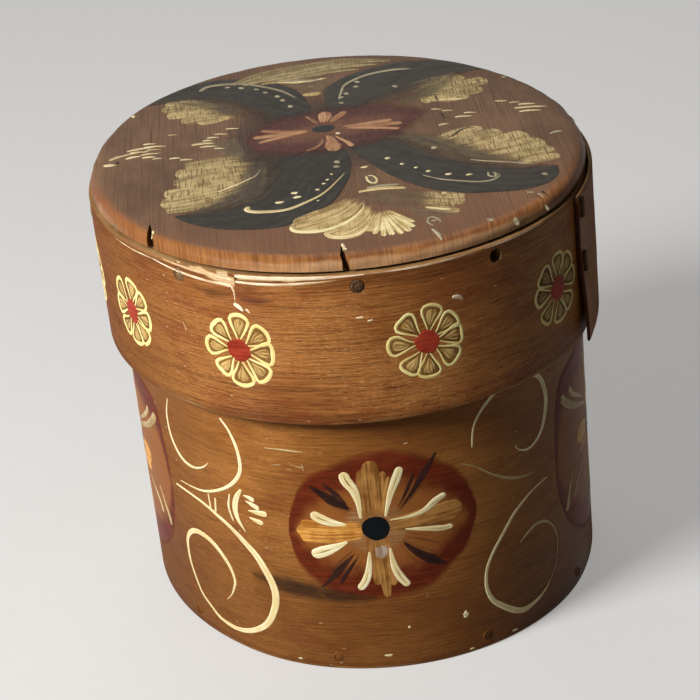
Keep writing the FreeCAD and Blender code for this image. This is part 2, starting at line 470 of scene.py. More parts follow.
def bend_strip(piece, strip):
    """Bends a wall, and sorts its faces by the finish they get."""
    flat = points_of(piece) / MM
    map_flat(piece, "strip", flat[:, :2] * MM)
    mark(piece, "rim", np.minimum(strip.high - flat[:, 1], flat[:, 1] - strip.low))
    mark(piece, "lap", flat[:, 0] - strip.along(strip.start))
    for face in piece.data.polygons:
        centre, up = face.center / MM, face.normal.z
        near_edge = min(strip.high - centre.y, centre.y - strip.low) < 0.9 and centre.z > -1.2
        at_end = centre.x - strip.along(strip.start) < 0.05
        if (up > 0.6 and centre.z > -0.3) or (near_edge and up > 0.05) or at_end:
            face.material_index = PAINTED
        elif centre.z > -1.9 and up > 0.3 and centre.y > strip.high - 7:
            face.material_index = RAW
        else:
            face.material_index = BARE
    move_points(piece, strip.bend(flat) * MM)
    smooth(piece)


bend_strip(lid_wall, lid_strip)
bend_strip(body_wall, body_strip)

# %% [markdown]
# ## The two boards
#
# The lid's board is a plank sawn to the oval, with a plug that fits inside the lid's wall
# and a lip that lies over it. Its upper edge has been rounded by years of hands, so it is
# bevelled deep. A cylinder moved on to the oval is the start: its bottom is inset and
# extruded for the plug, and its top is inset ring by ring so that it can be warped. The
# whole top rises a little to the back, and two cracks run in from its edge.

# %% Lid board
LIP_INSET, LIP_LOW, LID_TOP = 2.0, 188.2, 195.4
PLUG_INSET, EDGE_ROUND, TILT = 4.5, 5.5, math.tan(math.radians(1.1))
TOP_SINK = 0.34        # the top stays this far below its outline, so that paint fits too


def top_height(x, y):
    """Height of the lid's top at a place on it, with its slow warp."""
    warp = 0.10 * np.sin(x / 31 + 0.6) * np.cos(y / 47) + 0.05 * np.sin(y / 23 + x / 60)
    return LID_TOP + TILT * y - TOP_SINK + warp


def saw_oval(name, offset, low, high, sides):
    """A round block moved on to the oval, as a board is sawn to a line."""
    block = new("cylinder", name, vertices=sides, radius=1, depth=2, end_fill_type="NGON")
    spots = points_of(block)
    angle = np.degrees(np.arctan2(spots[:, 0], -spots[:, 1]))
    x, y = plan.point(angle, offset)
    move_points(block, np.stack([x, y, np.where(spots[:, 2] > 0, high, low)], 1) * MM)
    return block


def facing(direction, height):
    """A test for the face that looks up or down at a height."""
    return lambda face: (face.normal.z * direction > 0.9
                         and abs(face.calc_center_median().z / MM - height) < 0.05)


def ring_at(height):
    """A test for the edges of the outline at a height."""
    return lambda edge: all(abs(v.co.z / MM - height) < 0.02 for v in edge.verts)


lid_plank = saw_oval("lid_plank", -LIP_INSET, LIP_LOW, LID_TOP, sides=240)
with edit(lid_plank):
    pick("faces", facing(-1, LIP_LOW))
    bpy.ops.mesh.inset(thickness=(PLUG_INSET - LIP_INSET) * MM)
    extrude((BODY_TOP - LIP_LOW) * MM)
    for width in (0.8, 20):
        bpy.ops.mesh.inset(thickness=width * MM)
    pick("edges", ring_at(LID_TOP))
    bevel(EDGE_ROUND, 7)
    pick("faces", facing(1, LID_TOP))
    rings(27, 3.2)


def wedge(tip, mouth, wide, seed):
    """A cutter for a crack: closed at its tip, and wide open where it leaves the edge."""
    random, steps, low = np.random.default_rng(seed), 6, LIP_LOW - 1
    cutter = new("grid", "wedge", x_subdivisions=steps, y_subdivisions=1, size=2)
    with edit(cutter):
        thicken(1)
    spots = points_of(cutter)
    tip, mouth = np.array(tip, float), np.array(mouth, float)
    run = (mouth - tip) / np.linalg.norm(mouth - tip)
    part = (spots[:, 0] + 1) / 2
    sway = random.normal(0, 0.16, steps + 1)[np.round(part * steps).astype(int)]
    half = wide / 2 * (0.06 + 0.94 * part ** 0.8)
    side = np.array([-run[1], run[0]])
    flat = tip + (mouth - tip) * part[:, None] + side * (spots[:, 1] * half + sway)[:, None]
    floor = low + np.clip(1 - part / 0.35, 0, 1) * (LID_TOP - 1.5 - low)
    height = np.where(spots[:, 2] > 0.5, LID_TOP + 8, floor)
    move_points(cutter, np.column_stack([flat, height]) * MM)
    return cutter


def peg_hole(angle, depth, diameter):
    """A cutter that runs inwards from the lid's outline, as the peg did."""
    x, y = (float(v) for v in plan.point(angle, -depth))
    return rod("peg_hole", 28, diameter, 2 * depth, (x, y, LID_PEG_HEIGHT),
               (math.pi / 2, 0, math.radians(angle)))


carve(lid_plank, [wedge((-90.2, -50.0), (-93.8, -67.0), 4.2, 1),
                  wedge((-24.3, -106.0), (-26.6, -122.5), 3.6, 2),
                  peg_hole(LOST_PEG, 22.0, PEG)])


def wear_plank(piece):
    """Warps the top, tilts it, and wears hollows into the rounded edge."""
    spots = points_of(piece) / MM
    x, y, z = spots.T
    above = np.clip((z - LIP_LOW) / (LID_TOP - LIP_LOW), 0, None)
    angle = np.degrees(np.arctan2(x, -y))
    inset = np.hypot(*plan.point(angle, -LIP_INSET)) - np.hypot(x, y)
    mark(piece, "shoulder", inset)
    z_new = np.where(above > 0, LIP_LOW + (top_height(x, y) - LIP_LOW) * above, z)
    near_edge = np.clip(1 - inset / 7, 0, 1) * (above > 0.05)
    hollow = np.array([noise.noise(Vector(p) / 11) + 0.5 * noise.noise(Vector(p) / 4)
                       for p in spots])
    bite = near_edge * np.clip(hollow + 0.15, 0, 1) * 0.9
    length = np.maximum(np.hypot(x, y), 1e-6)
    spots[:, 0], spots[:, 1] = x - x / length * bite, y - y / length * bite
    spots[:, 2] = z_new - bite * 0.5 * above
    move_points(piece, spots * MM)


map_flat(lid_plank, "plan", points_of(lid_plank)[:, :2])
wear_plank(lid_plank)
smooth(lid_plank, 40)

# %% [markdown]
# The bottom board is a plain plank in the foot of the wall, let in flush, with its upper
# edge chamfered. It shows when the lid is off and from underneath, so its rings are inset
# too and a slight cup is pressed into it.

# %% Bottom board
BASE_INSET, BASE_THICK = BODY_INSIDE - 0.3, 12.0
base_plank = saw_oval("base_plank", BASE_INSET, 0, BASE_THICK, sides=180)
with edit(base_plank):
    pick("edges", ring_at(BASE_THICK))
    bevel(1.0, 2)
    for direction, height in ((1, BASE_THICK), (-1, 0)):
        pick("faces", facing(direction, height))
        rings(9, 9)
spots = points_of(base_plank) / MM
inward = 1 - np.hypot(spots[:, 0] / 97, spots[:, 1] / 112)
spots[:, 2] += np.where(spots[:, 2] > BASE_THICK / 2, -0.5, 0.35) * np.clip(inward, 0, 1)
move_points(base_plank, spots * MM)
map_flat(base_plank, "plan", spots[:, :2] * MM)
smooth(base_plank)

# %% [markdown]
# ## Pegs
#
# Whittled pegs hold the boards. A peg's end was cut off and rubbed flush, so it is a short
# round bar with a few flats, a softened end and a slightly domed face. It is modelled once,
# and each copy gets its own mesh, its own turn and its own place.

# %% Pegs
PEG_LENGTH = 20.0


def whittle():
    """A peg that stands on the bench with its end up, at the height of its hole's mouth."""
    peg = apply_all(rod("peg", 22, PEG, PEG_LENGTH, (0, 0, -PEG_LENGTH / 2)))
    with edit(peg):
        pick("faces", lambda face: face.normal.z > 0.9)
        bevel(0.25, 2)
        pick("faces", lambda face: face.normal.z > 0.9)
        rings(2, 0.9)
    random = np.random.default_rng(11)
    spots = points_of(peg) / MM
    radius = np.hypot(spots[:, 0], spots[:, 1])
    turned = np.arctan2(spots[:, 1], spots[:, 0])
    spots[:, :2] *= (1 - 0.03 * (0.5 + 0.5 * np.cos(7 * turned)))[:, None]
    top = spots[:, 2] > -0.5
    spots[top, 2] -= 0.10 * (radius[top] / (PEG / 2)) ** 2 + random.uniform(0, 0.06, top.sum())
    move_points(peg, spots * MM)
    return peg


def drive(pattern, strip, angles, height, name, proud):
    """Copies the peg to each of its holes, in one mesh, so proud of the wood as told."""
    copies = []
    random = np.random.default_rng(len(angles))
    for angle in angles:
        copy = pattern.copy()
        copy.data = pattern.data.copy()
        bpy.context.scene.collection.objects.link(copy)
        skin = float(strip.skin(np.array(angle), height))
        x, y = (float(v) for v in plan.point(angle, skin + random.uniform(*proud)))
        radians = math.radians(angle)
        out = Vector((math.sin(radians), -math.cos(radians), 0))
        turn = out.to_track_quat("Z", "Y").to_matrix().to_4x4()
        spin = Matrix.Rotation(random.uniform(0, 6), 4, "Z")
        copy.data.transform(Matrix.Translation(mm(x, y, height)) @ turn @ spin)
        mark(copy, "grain", np.full(len(copy.data.vertices), random.random()))
        spots = points_of(copy) / MM
        aside = (spots[:, 0] - x) * math.cos(radians) + (spots[:, 1] - y) * math.sin(radians)
        map_flat(copy, "strip", np.column_stack([strip.along(angle) + aside, spots[:, 2]]) * MM)
        for name_of, value in (("rim", 9.0), ("lap", 99.0)):
            mark(copy, name_of, np.full(len(spots), value))
        copies.append(copy)
    pegs = join(copies, name)
    smooth(pegs)
    return pegs


pattern = whittle()
lid_peg_set = drive(pattern, lid_strip, [a for a in LID_PEGS if a != LOST_PEG], LID_PEG_HEIGHT,
                    "lid_peg_set", proud=(0.02, 0.24))
base_peg_set = drive(pattern, body_strip, BODY_PEGS, BODY_PEG_HEIGHT, "base_peg_set",
                     proud=(0.02, 0.04))
bpy.data.objects.remove(pattern)

# %% [markdown]
# ## Root lacing
#
# The laps are sewn with split root in running stitch: outside between one pair of slots,
# inside to the next. Each run is a small bar, softened by a bevel and swollen a little in
# its middle, as a damp root is when it has dried hard. It is made flat, as the strips were.

# %% Root lacing
ROOT_GAP = 0.1


def root_run(x, low, high, inner, outer, random):
    """One run of root on the bench, from a low to a high slot and between two depths."""
    middle = (low + high) / 2
    run = apply_all(bar("run", (x, middle, (inner + outer) / 2),
                        (ROOT_WIDTH, high - low, outer - inner)))
    with edit(run):
        bpy.ops.mesh.select_all(action="SELECT")
        bpy.ops.mesh.subdivide(number_cuts=3)
        pick("edges", lambda edge: edge.calc_face_angle(0) > 1.2)
        bevel(0.28, 2)
    spots = points_of(run) / MM
    swell = 1 + 0.10 * np.cos((spots[:, 1] - middle) / max(high - low, 1) * math.pi) - 0.10
    spots[:, 0] = x + (spots[:, 0] - x) * swell + random.uniform(-0.08, 0.08)
    move_points(run, spots * MM)
    return run


def lace(name, strip, row, slots):
    """Root along one row of slots, laid flat and then bent on to the wall."""
    x = float(plan.length(row, strip.skin_offset))
    face = np.interp(row, strip.stops, strip.outer) - 0.3
    random = np.random.default_rng(int(row * 10))
    outside = (face + ROOT_GAP, face + ROOT_GAP + ROOT_THICK)
    inside = (-ROOT_GAP - ROOT_THICK, -ROOT_GAP)
    half = ROOT_THICK / 2
    runs = [root_run(x, slot - half, slot + half, inside[0] if i else 0, outside[1], random)
            for i, slot in enumerate(slots)]
    for i, pair in enumerate(zip(slots, slots[1:])):
        side = inside if i % 2 else outside
        runs.append(root_run(x, min(pair) - half, max(pair) + half, *side, random))
    root = join(runs, name)
    flat = points_of(root) / MM
    map_flat(root, "strip", flat[:, :2] * MM)
    angle = plan.angle(flat[:, 0], strip.skin_offset)
    lifted = strip.inside + flat[:, 2] + strip.lift(angle, flat[:, 1]) * (flat[:, 2] > 1)
    move_points(root, np.stack([*plan.point(angle, lifted), flat[:, 1]], 1) * MM)
    smooth(root, 60)
    return root


roots = {f"{name}_{end}": lace(f"{name}_root_{end}_end", strip, row, slots)
         for name, strip, slots in (("lid", lid_strip, LID_SLOTS), ("body", body_strip, BODY_SLOTS))
         for end, row in zip(("outer", "inner"), rows_of(strip))}

# %% [markdown]
# ## Mixing finishes
#
# A finish is a material made of nodes. Written out node by node it would be hard to read,
# so a value in a material is wrapped in a small class, and sums on it add the Math nodes.
# Any other node comes from one method that is told its type, its settings and its sockets.

# %% Finish maker
def paint_chip(code):
    """A colour from its hex code, as the light-linear numbers that Blender wants."""
    parts = [int(code[i:i + 2], 16) / 255 for i in (1, 3, 5)]
    return tuple(((p + 0.055) / 1.055) ** 2.4 if p > 0.04045 else p / 12.92 for p in parts) + (1.0,)


class Wire:
    """A value that flows through a finish. Sums on it add Math nodes."""

    def __init__(self, finish, socket):
        self.finish, self.socket = finish, socket

    def math(self, operation, *values):
        return self.finish.node("ShaderNodeMath", {"operation": operation}, dict(enumerate(values)))

    def __add__(self, other): return self.math("ADD", self, other)
    def __radd__(self, other): return self.math("ADD", other, self)
    def __sub__(self, other): return self.math("SUBTRACT", self, other)
    def __rsub__(self, other): return self.math("SUBTRACT", other, self)
    def __mul__(self, other): return self.math("MULTIPLY", self, other)
    def __rmul__(self, other): return self.math("MULTIPLY", other, self)
    def __truediv__(self, other): return self.math("DIVIDE", self, other)
    def __pow__(self, other): return self.math("POWER", self, other)
    def most(self, other): return self.math("MAXIMUM", self, other)

    def rise(self, start, end):
        """0 below start, 1 above end, and a smooth step between."""
        return self.finish.node("ShaderNodeMapRange", {"interpolation_type": "SMOOTHSTEP"},
                                {"Value": self, "From Min": start, "From Max": end})


class Finish:
    """A material under construction."""

    def __init__(self, name, roughness=0.4, gloss=0.06):
        self.material = bpy.data.materials.new(name)
        self.material.use_nodes = True
        self.tree = self.material.node_tree
        self.shader = self.tree.nodes["Principled BSDF"]
        self.shader.inputs["Roughness"].default_value = roughness
        self.shader.inputs["Specular IOR Level"].default_value = gloss

    def node(self, kind, settings=None, sockets=None, out=0):
        node = self.tree.nodes.new(kind)
        for name, value in (settings or {}).items():
            setattr(node, name, value)
        for name, value in (sockets or {}).items():
            if isinstance(value, Wire):
                self.tree.links.new(value.socket, node.inputs[name])
            else:
                node.inputs[name].default_value = value
        return Wire(self, node.outputs[out])

    def flat(self, name):
        return self.node("ShaderNodeUVMap", {"uv_map": name})

    def number(self, name):
        return self.node("ShaderNodeAttribute", {"attribute_name": name}, out=2)

    def place(self):
        return self.node("ShaderNodeTexCoord", out=3)

    def part(self, vector, index):
        """One number of a vector: 0, 1 or 2 for x, y or z."""
        return self.node("ShaderNodeSeparateXYZ", {}, {0: vector}, out=index)

    def stretched(self, vector, scale, turn=0.0, move=(0, 0, 0)):
        """Turns a pattern first, and then stretches it."""
        if turn:
            vector = self.node("ShaderNodeMapping", {}, {"Vector": vector, "Rotation": (0, 0, turn)})
        return self.node("ShaderNodeMapping", {},
                         {"Vector": vector, "Scale": scale, "Location": move})

    def noise(self, vector, scale=1.0, detail=3.0, roughness=0.55, warp=0.0):
        return self.node("ShaderNodeTexNoise", {}, {
            "Vector": vector, "Scale": scale, "Detail": detail, "Roughness": roughness,
            "Distortion": warp})

    def grain(self, flat, scale, turn=0.0, move=(0, 0, 0), **how):
        """Noise on the flat wood, finer the larger the scale, in each direction on its own."""
        return self.noise(self.stretched(flat, scale, turn, move), **how)

    def mix(self, share, one, other):
        """Goes from one colour to the other as the share goes from 0 to 1."""
        colours = {6: one, 7: other}
        colours = {k: paint_chip(v) if isinstance(v, str) else v for k, v in colours.items()}
        return self.node("ShaderNodeMix", {"data_type": "RGBA"}, {0: share, **colours}, out=2)

    def relief(self, height, depth, strength=1.0):
        """Raises the surface, by the depth in metres where the height is 1."""
        return self.node("ShaderNodeBump", {},
                         {"Height": height, "Distance": depth, "Strength": strength})

    def feed(self, **sockets):
        """Joins values to the shader, and gives back the material."""
        names = {"colour": "Base Color", "roughness": "Roughness", "alpha": "Alpha",
                 "normal": "Normal"}
        for name, value in sockets.items():
            self.tree.links.new(value.socket, self.shader.inputs[names[name]])
        return self.material


# %% [markdown]
# ## The wood's finishes
#
# The walls were glazed with an orange-brown oil paint, thin enough for the grain to show,
# and the brush went along the strip. Under it lie three scales of pattern: slow blotches
# where the glaze is thicker, streaks a hand long, and hair-fine grain. Paint has rubbed off
# the edges first, so the distance to the edge, broken up by noise, mixes in bare wood. The
# relief of the same streaks makes the varnish glint along the brush marks.

# %% Painted walls
def painted_wall(name, light, middle, deep, red, streaks, relief):
    f = Finish(name)
    flat = f.flat("strip")
    streak = f.grain(flat, (55, 950, 1), detail=5, roughness=0.65, warp=0.3)
    hair = f.grain(flat, (230, 2700, 1), detail=2)
    long_grain = f.grain(flat, (9, 330, 1), move=(3, 1, 0), detail=4, warp=0.5)
    blotch = f.grain(flat, (14, 24, 1), detail=4, roughness=0.6)
    patch = f.grain(flat, (26, 60, 1), move=(9, 4, 0), detail=5, roughness=0.7)
    glint_noise = f.grain(flat, (420, 2300, 1), move=(5, 2, 0), detail=2)
    # the glaze: blotches, grain, redder patches, brush marks and pores, and pale flecks that are
    # painted glints of the varnish
    tone = f.mix((blotch + (streak - 0.5) * 0.6).rise(0.34, 0.66), middle, light)
    tone = f.mix((long_grain + (hair - 0.5) * 0.3).rise(0.50, 0.74) * streaks * 0.5, tone, deep)
    tone = f.mix(patch.rise(0.48, 0.66) * 0.6, tone, red)
    tone = f.mix(streak.rise(0.54, 0.72) * 0.5 * streaks, tone, light)
    tone = f.mix((1 - streak.rise(0.30, 0.45)) * 0.45 * streaks, tone, deep)
    pores = hair.rise(0.60, 0.72) * (1 - streak.rise(0.45, 0.7))
    tone = f.mix(pores * 0.6 * streaks, tone, deep)
    # painted highlight: pale flecks stand in for glints of the varnish
    painted_glints = glint_noise.rise(0.58, 0.69) * blotch.rise(0.38, 0.60) * 0.65 * streaks
    tone = f.mix(painted_glints, tone, "#E0AC78")
    # the wear: grime near the long edges, bare wood on them and nicks; and a painted shade in the
    # lap's step
    rim = f.number("rim")
    rubbed = 1 - (rim + (patch - 0.5) * 5.5 + (streak - 0.5) * 2.5).rise(0.0, 1.7)
    grime = (1 - (rim + (blotch - 0.5) * 14).rise(1.0, 7.0)) * 0.45
    tone = f.mix(grime, tone, deep)
    tone = f.mix(rubbed * 0.8, tone, f.mix(hair, "#8A5C36", "#C99E6C"))
    speck = f.node("ShaderNodeTexVoronoi", {},
                   {"Vector": f.stretched(flat, (120, 260, 1)), "Scale": 1.0})
    nick = (1 - speck.rise(0.05, 0.14)) * patch.rise(0.50, 0.60)
    tone = f.mix(nick * 0.8, tone, "#E6C99B")
    # painted shade: darker in the lap's step and on the strip's outer end
    tone = f.mix((1 - f.number("lap").rise(0.3, 2.6)) * 0.85, tone, "#2E170B")
    # painted shade: the glaze is made darker towards both sides and the foot, where less light falls
    sideways = f.part(f.place(), 0)
    painted_side_shade = (sideways.most(sideways * -0.88) + (blotch - 0.5) * 0.03).rise(0.062, 0.108)
    tone = f.mix(painted_side_shade * 0.72, tone, deep)
    # painted shade: darker towards the foot
    painted_foot_shade = 1 - f.part(f.place(), 2).rise(0.0, 0.11)
    tone = f.mix(painted_foot_shade * 0.5, tone, deep)
    height = streak * 0.9 + hair * 0.35 + long_grain * 0.4 - nick * 0.5 - pores * 0.3
    rough = 0.34 + (hair - 0.5) * 0.16 + rubbed * 0.25 + (blotch - 0.5) * 0.3 + painted_side_shade * 0.35
    return f.feed(colour=tone, roughness=rough, normal=f.relief(height, relief))


lid_paint = painted_wall("lid_glaze", "#B6783E", "#965A2A", "#592F12", "#86421F", 1.0, 0.0009)
body_paint = painted_wall("body_glaze", "#A86E34", "#8B5625", "#592F12", "#7E431E", 0.6, 0.0005)

# %% [markdown]
# Inside and along the edges the strips are bare, dry and darkened with age. Where wood has
# split off lately the break is pale and fibrous. Both use the same idea, fibres along the
# strip, at different colours and depths. The boards' grain runs front to back, so their
# pattern follows the plan of the box instead of the wall.

# %% Bare wood
def bare_wood(name, flat_name, fibre, light, deep, stain, depth=0.0003):
    f = Finish(name)
    flat = f.flat(flat_name)
    grain = f.grain(flat, fibre, detail=5, roughness=0.65, warp=0.4)
    fine = f.grain(flat, tuple(v * 3.6 for v in fibre), detail=2)
    cloud = f.grain(flat, (18, 18, 1), detail=4)
    tone = f.mix((grain + (fine - 0.5) * 0.5).rise(0.36, 0.66), deep, light)
    tone = f.mix(cloud.rise(0.45, 0.72) * 0.6, tone, stain)
    rough = 0.72 + (fine - 0.5) * 0.2
    return f.feed(colour=tone, roughness=rough, normal=f.relief(grain + fine * 0.5, depth))


def wear_finishes(piece, *finishes):
    for finish in finishes:
        piece.data.materials.append(finish)


strip_bare = bare_wood("strip_bare_wood", "strip", (14, 520, 1), "#A98457", "#7A5833", "#6B4A2B")
raw_break = bare_wood("fresh_break", "strip", (30, 900, 1), "#EAD3A6", "#C29C69", "#A67B4C",
                      depth=0.0006)
board_bare = bare_wood("board_bare_wood", "plan", (480, 11, 1), "#A9855A", "#7C5B37", "#6E4E30")
root_finish = bare_wood("split_root", "strip", (900, 60, 1), "#5C4326", "#33230F", "#2A1C0D")
wear_finishes(lid_wall, lid_paint, strip_bare, raw_break)
wear_finishes(body_wall, body_paint, strip_bare, raw_break)
wear_finishes(base_plank, board_bare)
for root in roots.values():
    wear_finishes(root, root_finish)

# %% [markdown]
# A peg's end shows end grain, dark with the dirt that collects there. Rings and short rays
# round the peg's own middle would be hidden at this size, so a fine mottle is enough, with
# each peg a little lighter or darker than the next.

# %% Peg finish
f = Finish("peg_end_grain")
mottle = f.noise(f.place(), 1500)
tone = f.mix((mottle + (f.number("grain") - 0.5) * 0.5).rise(0.3, 0.75), "#4A3424", "#8A6A4C")
peg_finish = f.feed(colour=tone, normal=f.relief(mottle, 0.0003), roughness=0.55 + mottle * 0.2)
wear_finishes(lid_peg_set, peg_finish)
wear_finishes(base_peg_set, body_paint)

# %% [markdown]
# ## The lid's top
#
# The top is painted a duller red-brown, and years of things set down on it have dulled it
# further. Fine dark grain lines come through. The rounded shoulder has been rubbed to an
# orange, varnished wood with paler streaks, and the paint's edge there is ragged. The
# distance in from the edge, worked out when the board was worn, drives that change.

# %% Lid board finish
BOARD_TURN = math.radians(10)          # the board's grain is that far off the box's length
SCRATCH_TURN = math.radians(63)

f = Finish("lid_top_paint", gloss=0.07)
flat = f.flat("plan")
grain = f.grain(flat, (820, 12, 1), BOARD_TURN, detail=4, roughness=0.6, warp=0.25)
hair = f.grain(flat, (2600, 45, 1), BOARD_TURN, detail=2)
cloud = f.grain(flat, (22, 14, 1), detail=5, roughness=0.65)
scratch = f.grain(flat, (60, 900, 1), SCRATCH_TURN, detail=3)
shoulder = f.number("shoulder")
front = 1 - f.part(flat, 1).rise(-0.10, 0.03)
tone = f.mix((cloud + (grain - 0.5) * 0.6).rise(0.35, 0.68), "#583C27", "#775840")
tone = f.mix(grain.rise(0.52, 0.66) * 0.7, tone, "#402719")
tone = f.mix(hair.rise(0.58, 0.72) * 0.3, tone, "#80603F")
tone = f.mix(front ** 3 * 0.4, tone, "#84583A")
edge = 1 - (shoulder + (1 - front) * 5 + (cloud - 0.5) * 7 + (grain - 0.5) * 3).rise(5.2, 8.4)
worn = (grain * 0.35 + cloud * 0.65 + (hair - 0.5) * 0.2).rise(0.38, 0.60)
worn_tone = f.mix(front, "#75452A", f.mix(worn, "#70411F", "#A16B3C"))
tone = f.mix(edge, tone, worn_tone)
bald = 1 - (shoulder + (1 - front) * 1.2 + (cloud - 0.5) * 9 + (hair - 0.5) * 2).rise(0.6, 2.4)
tone = f.mix(bald * 0.45, tone, f.mix(hair, "#B08055", "#DDBB90"))
tone = f.mix(scratch.rise(0.70, 0.76) * 0.35, tone, "#B59478")
rough = 0.46 - edge * 0.12 + (hair - 0.5) * 0.16 + (cloud - 0.5) * 0.2
bump = f.relief(grain * 0.7 + hair * 0.4 - scratch.rise(0.7, 0.76) * 0.4, 0.00035)
wear_finishes(lid_plank, f.feed(colour=tone, roughness=rough, normal=bump), board_bare)

# bare wood shows under the lip, and on the plug inside the lid's wall
for face in lid_plank.data.polygons:
    height, out = face.center.z / MM, math.hypot(*face.center[:2]) / MM
    inner = abs(face.normal.z) < 0.3 and out < 104 and face.area < 6e-5
    face.material_index = int(height < LIP_LOW + 0.4 or (inner and height < LID_TOP + 1.4))
print("finishes", [m.name for m in bpy.data.materials if m.users])

# %% [markdown]
# ## A brush
#
# The ornament is oil paint laid on with a round brush: each leaf of it begins full and ends
# in dry hairs. It could be drawn inside the material, but a real stroke has an edge, a crown
# and furrows that catch the light, so each stroke is a thin closed strip of its own. One
# strip is extruded from a grid. Each stroke is a copy of it, spread between two edges that
# follow a smooth line through a few given points, and laid on the wood by the bend of the
# wall or by dropping it on to the board. Besides its place in the stroke, each point
# keeps how far it is from the stroke's edge, because paint is thin there.
#
# The ornament has hundreds of strokes, so they are written as rows of text: the points of a
# stroke as x,y in millimetres, then a bar and the widths from its start to its end.

# %% Reading strokes
def numbers_in(text):
    return [float(number) for number in text.replace(",", " ").split()]


def in_groups(text, count):
    """Groups of as many numbers as told."""
    return np.reshape(numbers_in(text), (-1, count))


def spots_in(text, place=None):
    """Points, which a place function moves to where they belong."""
    spots = [(x, y) for x, y in in_groups(text, 2).tolist()]
    return [place(*spot) for spot in spots] if place else spots


def strokes_in(text, place=None, widths=""):
    """The points and the widths of each row. A row without a bar gets the common widths."""
    for row in text.strip().splitlines():
        points, _, its_widths = row.partition("|")
        yield spots_in(points, place), tuple(numbers_in(its_widths or widths))


# %% Layers, smooth lines and the strip
# the layers of paint, in millimetres over the wood
SHADE, UNDER, LEAF, OVER, LINE = 0.018, 0.03, 0.05, 0.075, 0.115
HAZE, FAN, GROUND = LEAF - 0.01, LEAF + 0.012, LEAF + 0.018
VEIL, CREASE, CHALK, GROOVE = OVER - 0.016, OVER - 0.008, OVER + 0.025, LINE + 0.085

STAGGER = 0.0045                      # neighbouring strokes of a layer lie this much apart
SUNK_RIM, SUNK_BACK = 0.03, 0.07      # how deep in the wood a stroke's rim and back lie
LIP = 0.22                            # the width of the slope at a stroke's edge
STEP = 1.5                            # how far apart the steps along a stroke are
OPEN = 0.02                           # the least half width of a stroke or a patch


def curve(points, count):
    """A smooth line through given points, in a number of steps or at shares of its
    length, and that length."""
    points = np.asarray(points, float)
    ends = np.vstack([2 * points[0] - points[1], points, 2 * points[-1] - points[-2]])
    t = np.linspace(0, 1, 16, endpoint=False)[:, None]
    parts = [0.5 * (2 * b + (c - a) * t + (2 * a - 5 * b + 4 * c - d) * t ** 2
                    + (3 * b - a - 3 * c + d) * t ** 3)
             for a, b, c, d in zip(ends, ends[1:], ends[2:], ends[3:])]
    line = np.vstack(parts + [points[-1:]])
    run = lengths_of(line)
    at = np.asarray(count, float) * run[-1] if np.ndim(count) else np.linspace(0, run[-1], count)
    return np.stack([np.interp(at, run, line[:, i]) for i in (0, 1)], 1), run[-1]


def lengths_of(line):
    """How far along a line each of its points is."""
    return np.r_[0, np.cumsum(np.linalg.norm(np.diff(line, axis=0), axis=1))]


@cache
def strip_pattern(columns, rows):
    """The thin closed strip that a stroke is a copy of, and the place of each of its points."""
    piece = new("grid", "pattern", x_subdivisions=columns, y_subdivisions=rows, size=2)
    with edit(piece):
        thicken(-1)
    spots, mesh = points_of(piece), piece.data.copy()
    bpy.data.objects.remove(piece)
    column = np.round((spots[:, 0] + 1) / 2 * columns).astype(int)
    row = np.round((spots[:, 1] + 1) / 2 * rows).astype(int)
    return mesh, column, row, spots[:, 2] > -0.5


